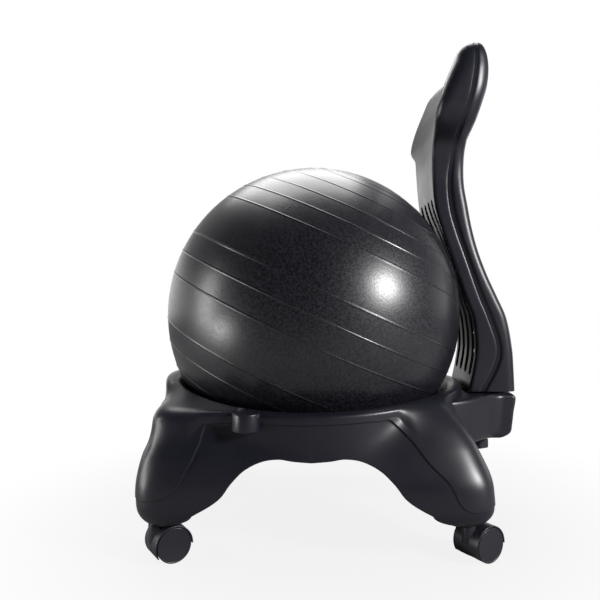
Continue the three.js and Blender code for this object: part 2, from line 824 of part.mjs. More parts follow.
function arcShape(outer, inner, fromDegrees, toDegrees, steps) {
  const shape = new THREE.Shape();
  const from = THREE.MathUtils.degToRad(fromDegrees);
  const to = THREE.MathUtils.degToRad(toDegrees);
  for (let i = 0; i <= steps; i += 1) {
    const angle = THREE.MathUtils.lerp(from, to, i / steps);
    const point = [outer * Math.cos(angle), outer * Math.sin(angle)];
    if (i === 0) shape.moveTo(...point);
    else shape.lineTo(...point);
  }
  for (let i = steps; i >= 0; i -= 1) {
    const angle = THREE.MathUtils.lerp(from, to, i / steps);
    shape.lineTo(inner * Math.cos(angle), inner * Math.sin(angle));
  }
  shape.closePath();
  return shape;
}

// Extrudes an outline drawn in the wheel's plane (Y, Z about the axle) along X, evenly about X = 0
function acrossCaster(shape, width) {
  const geometry = new THREE.ExtrudeGeometry(shape, { depth: width, bevelEnabled: false });
  geometry.translate(0, 0, -width / 2);
  geometry.rotateY(Math.PI / 2);
  geometry.rotateX(Math.PI / 2);
  geometry.translate(0, casterTrail, wheelRadius);
  return solidOf(geometry);
}

function hoodShape() {
  const coverArc = arcShape(hoodRadius, hoodRadius - hoodWall, hoodRearAngle, hoodFrontAngle, hoodSteps);
  const cover = acrossCaster(coverArc, casterHalfWidth * 2);
  const webArc = arcShape(hoodRadius - hoodWall / 2, axleRadius, hoodRearAngle, hoodFrontAngle, hoodSteps);
  const web = acrossCaster(webArc, casterWebThickness);
  const forkHalf = casterForkWidth / 2;
  const hub = cylinderAlongX(wheelHubRadius, -forkHalf, forkHalf, casterTrail, wheelRadius);
  const hoodTop = footHeight - touchGap * 2 - collarThickness;
  const nose = uprightCylinder(hoodNoseRadius, 0, 0, stemBottom - stemHousingFloor, hoodTop);
  const wells = [-1, 1].map((side) => {
    const inner = side * forkHalf;
    const outer = side * (casterHalfWidth + cutOverrun);
    return cylinderAlongX(
      wheelRadius + hoodWall / 2, Math.min(inner, outer), Math.max(inner, outer),
      casterTrail, wheelRadius, largeRoundSides,
    );
  });
  const stemBore = uprightCylinder(
    stemRadius + touchGap, 0, 0, stemBottom - touchGap, hoodTop + cutOverrun,
  );
  const axleBore = cylinderAlongX(
    axleRadius + touchGap, -casterForkWidth, casterForkWidth, casterTrail, wheelRadius,
  );
  const topCut = block(-hoodRadius, hoodRadius, -hoodRadius, casterTrail + hoodRadius, hoodTop, footHeight);
  return joined(cover, web, hub, nose)
    .subtract(wells[0]).subtract(wells[1]).subtract(stemBore).subtract(axleBore).subtract(topCut);
}

function axleShape() {
  const half = casterHalfWidth - wheelDish - touchGap;
  return cylinderAlongX(axleRadius, -half, half, casterTrail, wheelRadius);
}

// The facets lie outside the wheel's circle, so the wheel stands on a flat one at its true radius
function wheelOutline() {
  const bore = axleRadius + touchGap;
  const hubEnd = wheelWidth;
  const treadRadius = wheelRadius / Math.cos(Math.PI / wheelFacets);
  const rimInner = wheelRadius - wheelRimWidth;
  return [
    [bore, 0],
    [wheelHubRadius, 0],
    [wheelHubRadius, hubEnd - wheelWebThickness],
    [rimInner, hubEnd - wheelWebThickness],
    [rimInner, 0],
    [treadRadius - wheelDish, 0],
    [treadRadius, wheelDish],
    [treadRadius, hubEnd - wheelDish],
    [treadRadius - wheelDish, hubEnd],
    [bore, hubEnd],
    [bore, 0],
  ];
}

function wheelShape(side) {
  const geometry = turned(wheelOutline(), wheelFacets);
  geometry.rotateZ(Math.PI / wheelFacets);
  geometry.rotateY(side * Math.PI / 2);
  const start = side * (casterForkWidth / 2 + wheelSideGap);
  geometry.translate(start, casterTrail, wheelRadius);
  return outward(solidOf(geometry));
}

for (const [place, x, y] of legPlaces) {
  const foot = new THREE.Group();
  foot.position.set(x, y, 0);
  chair.add(foot);
  add(foot, `caster_socket_${place}`, socketShape(), plastic('#3a3a3c', 0.6));
  add(foot, `caster_stem_${place}`, stemShape(), zincSteel());
  add(foot, `caster_grip_ring_${place}`, gripRingShape(), zincSteel());

  const swivel = new THREE.Group();
  swivel.rotation.z = Math.sign(x) * THREE.MathUtils.degToRad(casterSwivel);
  foot.add(swivel);
  add(swivel, `caster_hood_${place}`, hoodShape(), casterNylon());
  add(swivel, `caster_axle_${place}`, axleShape(), zincSteel());
  add(swivel, `caster_wheel_outer_${place}`, wheelShape(Math.sign(x)), casterNylon());
  add(swivel, `caster_wheel_inner_${place}`, wheelShape(-Math.sign(x)), casterNylon());
}

// The chair stands with the middle of its footprint over the origin
const standing = new THREE.Group();
standing.add(chair);
const extent = new THREE.Box3().setFromObject(standing, true);
chair.position.y = -(extent.min.y + extent.max.y) / 2;

export default standing;
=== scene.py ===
import math

import bmesh
import bpy
from mathutils import Matrix, Vector


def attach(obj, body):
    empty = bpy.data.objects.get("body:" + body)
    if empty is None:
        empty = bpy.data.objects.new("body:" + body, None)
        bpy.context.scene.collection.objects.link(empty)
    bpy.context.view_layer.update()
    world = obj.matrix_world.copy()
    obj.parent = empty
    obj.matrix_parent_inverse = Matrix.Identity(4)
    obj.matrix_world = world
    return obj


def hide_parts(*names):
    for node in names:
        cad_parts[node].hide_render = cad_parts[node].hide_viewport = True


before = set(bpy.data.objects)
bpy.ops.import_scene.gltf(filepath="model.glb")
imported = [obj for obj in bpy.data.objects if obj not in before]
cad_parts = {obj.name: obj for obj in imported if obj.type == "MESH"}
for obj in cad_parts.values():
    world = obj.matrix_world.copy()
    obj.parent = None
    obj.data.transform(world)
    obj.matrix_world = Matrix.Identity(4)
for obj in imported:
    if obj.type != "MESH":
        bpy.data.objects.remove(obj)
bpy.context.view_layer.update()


# Camera
# It stands 1.15 m to the sitter's left of the ball, level with the backrest's lower half, and looks
# square across the chair. The small shift stands for the crop of the photograph.
camera_place = (1.149, -0.0244, 0.3973)
camera_direction = (-1, 0, 0)
sensor_mm = 36.0
lens_mm = 38.88
picture_pixels = 600
crop_across = 23.5
crop_down = 16.0
camera_data = bpy.data.cameras.new("camera")
camera_data.sensor_width = sensor_mm
camera_data.lens = lens_mm
camera_data.shift_x = -crop_across / picture_pixels
camera_data.shift_y = -crop_down / picture_pixels
camera = bpy.data.objects.new("camera", camera_data)
camera.location = camera_place
camera.rotation_euler = Vector(camera_direction).to_track_quat("-Z", "Y").to_euler()
bpy.context.scene.collection.objects.link(camera)
bpy.context.scene.camera = camera
bpy.context.scene.view_settings.view_transform = "Standard"


# Studio
# The camera sees a white world and floor. Reflections see a sweep that is bright on the chair's far
# side and dim on the camera's side, and weaker higher up. Four soft boxes add the highlights to a soft
# and dimmer light. Near the chair the floor's grey paint shows a little, and so does the shadow on it.
white_light = (1, 1, 1, 1)
fill_strength = 0.18
sweep_from = 0.1
sweep_to = -0.75
near_glow = 0.06
far_glow = 1.6
sweep_low = 0.1
sweep_high = 0.3
high_glow_share = 0.22
chair_middle = (0, -0.04, 0.35)
overhead_place = (-1.05, -0.25, 2.2)
overhead_size = 1.7
overhead_watts = 50
key_place = (1.3, 1.75, 1.05)
key_size = 0.42
key_watts = 66
low_place = (0.62, -1.45, 0.04)
low_size = 0.35
low_watts = 8
front_place = (0.3, -2.3, 0.6)
front_width = 0.45
front_height = 1.1
front_watts = 19
floor_radius = 6.0
floor_sides = 64
floor_grey = (0.3, 0.3, 0.3, 1)
shadow_radius = 0.25
white_radius = 0.72
shadow_glow_share = 0.86


def linear(hex_colour):
    channels = [int(hex_colour[i:i + 2], 16) / 255 for i in (1, 3, 5)]
    scene_values = [c / 12.92 if c <= 0.04045 else ((c + 0.055) / 1.055) ** 2.4 for c in channels]
    return (*scene_values, 1.0)


def add_node(tree, kind, inputs=None, **settings):
    node = tree.nodes.new(kind)
    for setting, value in settings.items():
        setattr(node, setting, value)
    for socket, value in (inputs or {}).items():
        if isinstance(value, bpy.types.NodeSocket):
            tree.links.new(value, node.inputs[socket])
        else:
            node.inputs[socket].default_value = value
    return node


def shown_to_rays(tree):
    path = add_node(tree, "ShaderNodeLightPath")
    seen = add_node(tree, "ShaderNodeMath", operation="MAXIMUM", inputs={
        0: path.outputs["Is Camera Ray"], 1: path.outputs["Is Transmission Ray"],
    })
    return seen.outputs[0], path.outputs["Is Glossy Ray"]


world = bpy.data.worlds.new("studio")
world.use_nodes = True
bpy.context.scene.world = world
world_tree = world.node_tree
world_tree.nodes.clear()
seen, glossy = shown_to_rays(world_tree)
direction = add_node(world_tree, "ShaderNodeTexCoord")
towards = add_node(world_tree, "ShaderNodeSeparateXYZ", {0: direction.outputs["Generated"]})
sweep = add_node(world_tree, "ShaderNodeMapRange", {
    "Value": towards.outputs["X"], "From Min": sweep_from, "From Max": sweep_to,
    "To Min": near_glow, "To Max": far_glow,
}, interpolation_type="SMOOTHSTEP")
soft_light = add_node(world_tree, "ShaderNodeBackground", {"Color": white_light, "Strength": fill_strength})
white = add_node(world_tree, "ShaderNodeBackground", {"Color": white_light, "Strength": 1.0})
height_share = add_node(world_tree, "ShaderNodeMapRange", {
    "Value": towards.outputs["Z"], "From Min": sweep_low, "From Max": sweep_high,
    "To Min": 1.0, "To Max": high_glow_share,
}, interpolation_type="SMOOTHSTEP")
sweep_glow = add_node(world_tree, "ShaderNodeMath", {
    0: sweep.outputs[0], 1: height_share.outputs[0],
}, operation="MULTIPLY")
reflected = add_node(world_tree, "ShaderNodeBackground", {
    "Color": white_light, "Strength": sweep_glow.outputs[0],
})
lit = add_node(world_tree, "ShaderNodeMixShader", {
    0: glossy, 1: soft_light.outputs[0], 2: reflected.outputs[0],
})
mixed = add_node(world_tree, "ShaderNodeMixShader", {0: seen, 1: lit.outputs[0], 2: white.outputs[0]})
add_node(world_tree, "ShaderNodeOutputWorld", {"Surface": mixed.outputs[0]})


def soft_box(name, place, width, height, watts):
    data = bpy.data.lights.new(name, "AREA")
    data.shape = "RECTANGLE"
    data.size = width
    data.size_y = height
    data.energy = watts
    lamp = bpy.data.objects.new(name, data)
    lamp.location = place
    lamp.rotation_euler = (Vector(chair_middle) - Vector(place)).to_track_quat("-Z", "Y").to_euler()
    bpy.context.scene.collection.objects.link(lamp)


soft_box("overhead_box", overhead_place, overhead_size, overhead_size, overhead_watts)
soft_box("key_box", key_place, key_size, key_size, key_watts)
soft_box("low_box", low_place, low_size, low_size, low_watts)
soft_box("front_box", front_place, front_width, front_height, front_watts)

floor_mesh = bpy.data.meshes.new("floor")
shape = bmesh.new()
bmesh.ops.create_circle(shape, cap_ends=True, segments=floor_sides, radius=floor_radius)
shape.to_mesh(floor_mesh)
shape.free()
floor = bpy.data.objects.new("floor", floor_mesh)
bpy.context.scene.collection.objects.link(floor)

floor_paint = bpy.data.materials.new("matt_grey_floor_paint")
floor_paint.use_nodes = True
floor_tree = floor_paint.node_tree
floor_tree.nodes.clear()
seen = shown_to_rays(floor_tree)[0]
paint = add_node(floor_tree, "ShaderNodeBsdfDiffuse", {"Color": floor_grey})
glow = add_node(floor_tree, "ShaderNodeEmission", {"Color": white_light, "Strength": 1.0})
place = add_node(floor_tree, "ShaderNodeTexCoord")
distance = add_node(floor_tree, "ShaderNodeVectorMath", {0: place.outputs["Object"]}, operation="LENGTH")
fade = add_node(floor_tree, "ShaderNodeMapRange", {
    "Value": distance.outputs["Value"], "From Min": shadow_radius, "From Max": white_radius,
    "To Min": shadow_glow_share, "To Max": 1.0,
}, interpolation_type="SMOOTHSTEP")
glow_share = add_node(floor_tree, "ShaderNodeMath", {0: fade.outputs[0], 1: seen}, operation="MULTIPLY")
floor_mix = add_node(floor_tree, "ShaderNodeMixShader", {
    0: glow_share.outputs[0], 1: paint.outputs[0], 2: glow.outputs[0],
})
add_node(floor_tree, "ShaderNodeOutputMaterial", {"Surface": floor_mix.outputs[0]})
floor_mesh.materials.append(floor_paint)


# Moulded plastics
# The ring and the backrest are satin polypropylene with a fine spark-eroded texture, and the knobs
# and casters are glass-filled nylon. The texture softens the highlights and gives a faint mottle.
metre_mm = 1000
plastic_ior = 1.49
plastic_cloud_mm = 60
sheen_spread = 0.03
mottle_gain = 1.35

# Such a texture is taken to be under half a millimetre. It is drawn coarser, so that it shows.
plastic_grain_mm = 1.6
plastic_relief_mm = 0.01
nylon_relief_mm = 0.012
polypropylene_roughness = 0.37
nylon_roughness = 0.38


def moulded_plastic(name, colour, roughness, grain_mm, relief_mm):
    material = bpy.data.materials.new(name)
    material.use_nodes = True
    tree = material.node_tree
    shader = tree.nodes["Principled BSDF"]
    shader.inputs["IOR"].default_value = plastic_ior
    place = add_node(tree, "ShaderNodeTexCoord")
    grain = add_node(tree, "ShaderNodeTexNoise", {
        "Vector": place.outputs["Object"], "Scale": metre_mm / grain_mm, "Detail": 3.0, "Roughness": 0.6,
    })
    cloud = add_node(tree, "ShaderNodeTexNoise", {
        "Vector": place.outputs["Object"], "Scale": metre_mm / plastic_cloud_mm, "Detail": 2.0,
    })
    sheen = add_node(tree, "ShaderNodeMapRange", {
        "Value": cloud.outputs["Fac"], "From Min": 0.3, "From Max": 0.7,
        "To Min": roughness - sheen_spread, "To Max": roughness + sheen_spread,
    })
    tree.links.new(sheen.outputs[0], shader.inputs["Roughness"])
    lighter = [channel * mottle_gain for channel in linear(colour)[:3]] + [1.0]
    tone = add_node(tree, "ShaderNodeMix", {
        0: grain.outputs["Fac"], 6: linear(colour), 7: lighter,
    }, data_type="RGBA")
    tree.links.new(tone.outputs[2], shader.inputs["Base Color"])
    bump = add_node(tree, "ShaderNodeBump", {
        "Height": grain.outputs["Fac"], "Distance": relief_mm / metre_mm, "Strength": 1.0,
    })
    tree.links.new(bump.outputs[0], shader.inputs["Normal"])
    return material


polypropylene = moulded_plastic(
    "satin_moulded_polypropylene", "#12121b", polypropylene_roughness, plastic_grain_mm, plastic_relief_mm,
)
nylon = moulded_plastic(
    "moulded_caster_nylon", "#1c1c23", nylon_roughness, plastic_grain_mm, nylon_relief_mm,
)


# Ring with its legs
# The base is one hollow ring on four legs, moulded in black polypropylene in two halves that meet in
# front of the middle. Its crown carries the ball, its lip overhangs the skirt, and a raised panel
# wraps round each leg.
MM = 0.001
chair_shift_y = -40.694
ball_middle_z = 346.701
seat_reach = 253.1
hole_radius = 162.0
crown_inner_radius = 232.0
crown_radius = 239.0
crown_drop = 5.0
crown_rounding = 4.0
lip_radius = 254.5
lip_height = 13.0
lip_rounding = 10.0
lobe_rounding = 16.0
lip_edge = 1.2
finger_height = 17.0
finger_edge = 6.0
leg_top_depth = 42.0
rear_top_depth = 32.0
leg_top_rounding = 26.0
rear_top_rounding = 14.0
leg_wall_drop = 22.0
leg_side_rounding = 18.0
rim_height = 217.0
ring_wall = 5.0
foot_height = 56.0
arch_height = 149.0
foot_reach = 265.0
stem_x = 219.0
stem_y = 225.0
panel_ledge = 1.2
panel_edge = 0.6
wall_edge = 1.6
half_gap = 0.3
split_y = -92.0
ring_steps = 720
front_rise = 26
front_rise_power = 2.6
rear_rise = 14
rear_rise_power = 1.5
shoulder_drop = 2
leg_corner_power = 12
leg_blend_power = 40
lobe_full_share = 0.3
lobe_end_share = 0.62
front_merge_from = 8.5
front_merge_to = 12.2
rear_merge_from = 12
rear_merge_to = 17.5
lip_foot_share = 0.3
panel_clearance = 0.3
panel_leg_gap = 1
panel_leg_clearance = leg_wall_drop + panel_leg_gap
panel_rise = 6
skirt_gap = 0.1
foot_inset = 1
arch_inset = 3
inset_degrees = 14
seat_rows = 10
wall_rows = 12
skirt_rows = 22
inner_rows = 9
edge_steps = 3
panel_steps = 2
lip_steps = 5
shoulder_steps = 8
longest_rounding_share = 0.45
ring_weld = 0.0005
cut_weld = 0.0001
leg_stops = [0, 0.04, 0.12, 0.25, 0.4, 0.6, 0.75, 0.9, 1]
front_leg_shares = [0.915, 0.942, 0.965, 0.971, 0.965, 0.938, 0.9, 0.881, 0.885]
rear_leg_shares = [0.935, 0.969, 0.996, 0.996, 0.983, 0.931, 0.883, 0.815, 0.738]
arch_stops = [0, 0.1, 0.2, 0.29, 0.37, 0.42, 0.47, 0.54, 0.65, 0.77, 0.87, 1]
arch_shares = [0, 0.005, 0.1, 0.24, 0.375, 0.49, 0.68, 0.865, 1, 1.045, 1.02, 1]
front_panel_degrees = [0, 4, 6, 8, 9.5, 10.9, 12, 12.6, 13.2, 45]
front_panel_heights = [95, 96, 98.5, 105, 117, 141, 161, 201, 206, 206]
rear_panel_degrees = [0, 4, 6.4, 8.1, 9.2, 12.4, 14.4, 17.8, 21.8, 37, 46]
rear_panel_heights = [88, 83, 86, 98, 120, 149, 174, 197, 207, 206, 206]


def mix(low, high, share):
    return low + (high - low) * share


def smooth_share(value, start, end):
    share = min(1.0, max(0.0, (value - start) / (end - start)))
    return share * share * (3 - 2 * share)


def curve_through(stops, values):
    slopes = []
    for i in range(len(stops)):
        before = max(i - 1, 0)
        after = min(i + 1, len(stops) - 1)
        slopes.append((values[after] - values[before]) / (stops[after] - stops[before]))

    def at(share):
        if share <= stops[0]:
            return values[0]
        if share >= stops[-1]:
            return values[-1]
        i = next(k for k in range(len(stops) - 1) if stops[k + 1] > share)
        span = stops[i + 1] - stops[i]
        t = (share - stops[i]) / span
        return (
            (2 * t ** 3 - 3 * t ** 2 + 1) * values[i] + (t ** 3 - 2 * t ** 2 + t) * span * slopes[i]
            + (3 * t ** 2 - 2 * t ** 3) * values[i + 1] + (t ** 3 - t ** 2) * span * slopes[i + 1]
        )

    return at


def rounded_outline(corners):
    points = []
    for i, (x, z, rounding, steps) in enumerate(corners):
        if steps == 0:
            points.append((x, z))
            continue
        before = corners[i - 1]
        after = corners[(i + 1) % len(corners)]
        reach_before = math.hypot(before[0] - x, before[1] - z)
        reach_after = math.hypot(after[0] - x, after[1] - z)
        share_before = min(rounding, reach_before * longest_rounding_share) / reach_before
        share_after = min(rounding, reach_after * longest_rounding_share) / reach_after
        start = (mix(x, before[0], share_before), mix(z, before[1], share_before))
        end = (mix(x, after[0], share_after), mix(z, after[1], share_after))
        for k in range(steps + 1):
            t = k / steps
            points.append((
                mix(mix(start[0], x, t), mix(x, end[0], t), t),
                mix(mix(start[1], z, t), mix(z, end[1], t), t),
            ))
    return points


front_leg_curve = curve_through(leg_stops, front_leg_shares)
rear_leg_curve = curve_through(leg_stops, rear_leg_shares)
arch_curve = curve_through(arch_stops, arch_shares)
front_panel_curve = curve_through(front_panel_degrees, front_panel_heights)
rear_panel_curve = curve_through(rear_panel_degrees, rear_panel_heights)
leg_angle = math.atan2(stem_y, stem_x)


def crown_height(angle):
    to_end = abs(math.sin(angle))
    if math.sin(angle) < 0:
        return rim_height + front_rise * to_end ** front_rise_power
    return rim_height + rear_rise * to_end ** rear_rise_power


def folded_angle(angle):
    return math.atan2(abs(math.sin(angle)), abs(math.cos(angle)))


def share_from_leg(angle):
    folded = folded_angle(angle)
    return abs(folded - leg_angle) / (leg_angle if folded < leg_angle else math.pi / 2 - leg_angle)


def leg_corner(angle):
    along = abs(math.sin(angle)) ** leg_corner_power
    return (abs(math.cos(angle)) ** leg_corner_power + along) ** (1 / leg_corner_power)


def outer_radius(corner, front, height):
    climb = (height - foot_height) / (rim_height - foot_height)
    reach = foot_reach * (front_leg_curve(climb) if front else rear_leg_curve(climb))
    return lip_radius * (1 + (reach / corner / lip_radius) ** leg_blend_power) ** (1 / leg_blend_power)


def seat_height(radius):
    return ball_middle_z - math.sqrt(seat_reach ** 2 - radius ** 2)


def ring_section(angle):
    front = math.sin(angle) < 0
    crown = crown_height(angle)
    near_leg = 1 - smooth_share(share_from_leg(angle), lobe_full_share, lobe_end_share)
    lobe = near_leg if front else 0.0
    shoulder = mix(crown - shoulder_drop, rim_height, lobe)
    corner = leg_corner(angle)
    top = outer_radius(corner, front, rim_height)
    off_leg = math.degrees(abs(folded_angle(angle) - leg_angle))
    merge = 1 - smooth_share(off_leg, rear_merge_from, rear_merge_to)
    if front:
        merge = 1 - smooth_share(off_leg, front_merge_from, front_merge_to)
    top_depth = leg_top_depth if front else rear_top_depth
    lip_bottom = shoulder - mix(mix(lip_height, finger_height, lobe), top_depth, merge)
    bottom = foot_height + (arch_height - foot_height) * arch_curve(share_from_leg(angle))
    panel = front_panel_curve(off_leg) if front else rear_panel_curve(off_leg)
    panel_highest = lip_bottom - mix(panel_clearance, panel_leg_clearance, merge)
    panel = min(panel_highest, max(panel, bottom + panel_rise))
    inset = mix(foot_inset, arch_inset, smooth_share(off_leg, 0, inset_degrees))
    end_drop = seat_height(crown_inner_radius) - (crown - crown_drop)
    corners = []
    for k in range(seat_rows + 1):
        radius = mix(hole_radius, crown_inner_radius, k / seat_rows)
        height = seat_height(radius) - end_drop * (k / seat_rows) ** 2
        at_end = k in (0, seat_rows)
        corners.append((radius, height, wall_edge if at_end else 0, edge_steps if at_end else 0))
    corners.append((crown_radius, crown, crown_rounding, lip_steps))
    rounding_on_leg = leg_top_rounding if front else rear_top_rounding
    top_rounding = mix(mix(lip_rounding, lobe_rounding, lobe), rounding_on_leg, merge)
    corners.append((top, shoulder, top_rounding, shoulder_steps))
    lip_foot = mix(top, outer_radius(corner, front, lip_bottom), smooth_share(merge, 0, lip_foot_share))
    lip_foot_rounding = mix(mix(lip_edge, finger_edge, lobe), leg_side_rounding, merge)
    corners.append((lip_foot, lip_bottom, lip_foot_rounding, lip_steps))
    for k in range(wall_rows + 1):
        height = mix(lip_bottom - mix(skirt_gap, leg_wall_drop, merge), panel + skirt_gap, k / wall_rows)
        corners.append((outer_radius(corner, front, height), height, 0, 0))
    corners.append((outer_radius(corner, front, panel), panel, panel_edge, panel_steps))
    ledge = panel - panel_ledge
    corners.append((outer_radius(corner, front, ledge) - inset, ledge, panel_edge, panel_steps))
    for k in range(1, skirt_rows):
        height = mix(ledge, bottom, k / skirt_rows)
        corners.append((outer_radius(corner, front, height) - inset, height, 0, 0))
    foot = outer_radius(corner, front, bottom) - inset
    corners.append((foot, bottom, wall_edge, edge_steps))
    corners.append((foot - ring_wall, bottom, wall_edge, edge_steps))
    for k in range(1, inner_rows):
        height = mix(bottom, lip_bottom - ring_wall, k / inner_rows)
        corners.append((outer_radius(corner, front, height) - inset - ring_wall, height, 0, 0))
    corners.append((top - inset - ring_wall, lip_bottom - ring_wall, ring_wall, edge_steps))
    corners.append((crown_radius, crown - ring_wall - crown_drop, ring_wall, edge_steps))
    for k in range(seat_rows - 2, -1, -1):
        radius = mix(hole_radius, crown_inner_radius, k / seat_rows)
        height = seat_height(radius) - end_drop * (k / seat_rows) ** 2 - ring_wall
        corners.append((radius, height, wall_edge if k == 0 else 0, edge_steps if k == 0 else 0))
    return rounded_outline(corners)


def ring_shape():
    sections = [ring_section(2 * math.pi * i / ring_steps) for i in range(ring_steps)]
    points = len(sections[0])
    shape = bmesh.new()
    bmesh.ops.create_grid(shape, x_segments=ring_steps, y_segments=points, size=1)
    for corner in shape.verts:
        step = round((corner.co.x + 1) / 2 * ring_steps)
        point = round((corner.co.y + 1) / 2 * points)
        radius, height = sections[step % ring_steps][point % points]
        angle = 2 * math.pi * step / ring_steps
        corner.co = (radius * math.cos(angle), radius * math.sin(angle), height)
    bmesh.ops.remove_doubles(shape, verts=shape.verts, dist=ring_weld)
    bmesh.ops.recalc_face_normals(shape, faces=shape.faces)
    return shape


def object_of(shape, name="work_piece"):
    data = bpy.data.meshes.new(name)
    shape.to_mesh(data)
    shape.free()
    piece = bpy.data.objects.new(name, data)
    bpy.context.scene.collection.objects.link(piece)
    return piece


def carved(shape, tool, operation="DIFFERENCE"):
    work = object_of(shape)
    cutter = object_of(tool)
    modifier = work.modifiers.new("carve", "BOOLEAN")
    modifier.operation = operation
    modifier.solver = "MANIFOLD"
    modifier.object = cutter
    graph = bpy.context.evaluated_depsgraph_get()
    result = bmesh.new()
    result.from_object(work, graph)
    bpy.data.objects.remove(work)
    bpy.data.objects.remove(cutter)
    return result


def with_shape(shape, other):
    data = bpy.data.meshes.new("added")
    other.to_mesh(data)
    other.free()
    shape.from_mesh(data)
    bpy.data.meshes.remove(data)
    return shape


same_height = 0.01
round_sides = 64
round_edge_steps = 4
box_edge_steps = 3
fitting_sides = 48
hole_sides = 32
overrun = 2


def cylinder(radius, x, y, z0, z1, sides=round_sides, edge=0.0):
    shape = bmesh.new()
    bmesh.ops.create_cone(
        shape, cap_ends=True, segments=sides, radius1=radius, radius2=radius, depth=z1 - z0,
        matrix=Matrix.Translation((x, y, (z0 + z1) / 2)),
    )
    if edge:
        rims = [
            rim for rim in shape.edges
            if any(all(abs(v.co.z - end) < same_height for v in rim.verts) for end in (z0, z1))
        ]
        bmesh.ops.bevel(
            shape, geom=rims, offset=edge, segments=round_edge_steps, profile=0.5, affect="EDGES",
            material=-1,
        )
    return shape


def slab(x0, x1, y0, y1, z0, z1, edge=0.0):
    shape = bmesh.new()
    size = Matrix.Diagonal((x1 - x0, y1 - y0, z1 - z0, 1))
    middle = Matrix.Translation(((x0 + x1) / 2, (y0 + y1) / 2, (z0 + z1) / 2))
    bmesh.ops.create_cube(shape, size=1, matrix=middle @ size)
    if edge:
        bmesh.ops.bevel(
            shape, geom=shape.edges[:], offset=edge, segments=box_edge_steps, profile=0.5, affect="EDGES",
            material=-1,
        )
    return shape


def half_of(shape, y, keep_front):
    bmesh.ops.bisect_plane(
        shape, geom=shape.verts[:] + shape.edges[:] + shape.faces[:], plane_co=(0, y, 0),
        plane_no=(0, 1, 0) if keep_front else (0, -1, 0), clear_outer=True, dist=cut_weld,
    )
    rims = [edge for edge in shape.edges if edge.is_boundary]
    bmesh.ops.holes_fill(shape, edges=rims)
    return shape


def finished(shape, name, material, body, slot_name, *replaced, sharp_degrees=40):
    bmesh.ops.translate(shape, vec=(0, chair_shift_y, 0), verts=shape.verts)
    bmesh.ops.scale(shape, vec=(MM, MM, MM), verts=shape.verts)
    bmesh.ops.recalc_face_normals(shape, faces=shape.faces)
    piece = object_of(shape, name)
    piece.data.shade_smooth()
    piece.data.set_sharp_from_angle(angle=math.radians(sharp_degrees))
    piece.data.materials.append(material)
    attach(piece, body)
    if replaced:
        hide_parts(*replaced)
    return piece


# The nub at each side is the end of the rear half, and the front half's lobe hooks round it.
nub_x = 238.0
nub_radius = 20.5
nub_gap = 0.8
nub_height = 27.0
nub_drop = 1.5
nub_top = crown_height(math.atan2(split_y, nub_x)) - nub_drop
nub_edge = 2.5
nub_sides = 96
pocket_rise = 40

# A sole plate closes each foot, and ribs tie the caster's boss to the leg's walls.
sole_radius = 33.0
sole_thickness = 6.0
boss_radius = 11.3
boss_height = 62.0
rib_half = 2.0
rib_rise = 24
rib_height = 42
rib_shortfall = 20
rib_bottom = foot_height + rib_rise
rib_top = rib_bottom + rib_height
rib_reach = foot_reach - rib_shortfall
sole_edge = 1.5
boss_edge = 0.8
rib_edge = 0.6
sole_share = 1 - (sole_radius - boss_radius) / math.hypot(stem_x, stem_y)
socket_room = 8.5
flange_room = 10.8
flange_depth = 1.9
socket_top = 96.3


def foot_shape(x, y):
    side_x = math.copysign(rib_reach, x)
    side_y = math.copysign(rib_reach, y)
    sole_top = foot_height + sole_thickness
    cut_bottom = foot_height - overrun
    foot = cylinder(sole_radius, x * sole_share, y * sole_share, foot_height, sole_top, edge=sole_edge)
    boss = cylinder(boss_radius, x, y, foot_height, foot_height + boss_height, fitting_sides, boss_edge)
    foot = carved(foot, boss, "UNION")
    foot = carved(foot, slab(
        min(x, side_x), max(x, side_x), y - rib_half, y + rib_half, rib_bottom, rib_top, rib_edge,
    ), "UNION")
    foot = carved(foot, slab(
        x - rib_half, x + rib_half, min(y, side_y), max(y, side_y), rib_bottom, rib_top, rib_edge,
    ), "UNION")
    foot = carved(foot, cylinder(socket_room, x, y, cut_bottom, socket_top, fitting_sides))
    return carved(foot, cylinder(flange_room, x, y, cut_bottom, foot_height + flange_depth, fitting_sides))


# The rear block is a box section behind the ring. Its recess takes the backrest's spigots, and two
# hexagonal bosses in it take the studs.
block_half_width = 83.0
block_root_half_width = 150.0
block_root_radius = 246.0
block_rear = 334.0
block_top = 216.0
block_bottom = 143.0
block_stops = [0, 0.12, 0.3, 0.6, 0.9, 1]
block_shares = [0.93, 0.972, 0.982, 0.99, 1, 0.992]
block_edge = 6.0
block_curve = curve_through(block_stops, block_shares)
recess_half_width = 72.0
recess_front = 254.0
recess_rear = 308.0
recess_floor = 149.0
bolt_x = 36.0
bolt_y = 281.0
hex_across_flats = 44.0
hex_top = 205.0
hex_edge = 1.2
hex_sides = 6
stud_room = 4.4
recess_edge = 3.0
recess_cut_top = 300.0
block_depth_scale = 60.0
block_taper_share = 0.8
block_cuts = (48, 36, 28)
box_size = 2
longest_share = 0.95


def cut_box(columns, layers, rows):
    shape = bmesh.new()
    bmesh.ops.create_cube(shape, size=box_size)
    for axis, cuts in ((0, columns - 1), (1, layers - 1), (2, rows - 1)):
        lines = [
            edge for edge in shape.edges
            if abs(edge.verts[0].co[axis] - edge.verts[1].co[axis]) > box_size * longest_share
        ]
        bmesh.ops.subdivide_edges(shape, edges=lines, cuts=cuts)
    return shape


def rounded_corner(distances, rounding):
    inner = [max(distance, rounding) for distance in distances]
    offset = [distance - deep for distance, deep in zip(distances, inner)]
    length = math.sqrt(sum(part * part for part in offset))
    if length == 0:
        return distances
    return [deep + part * rounding / length for deep, part in zip(inner, offset)]


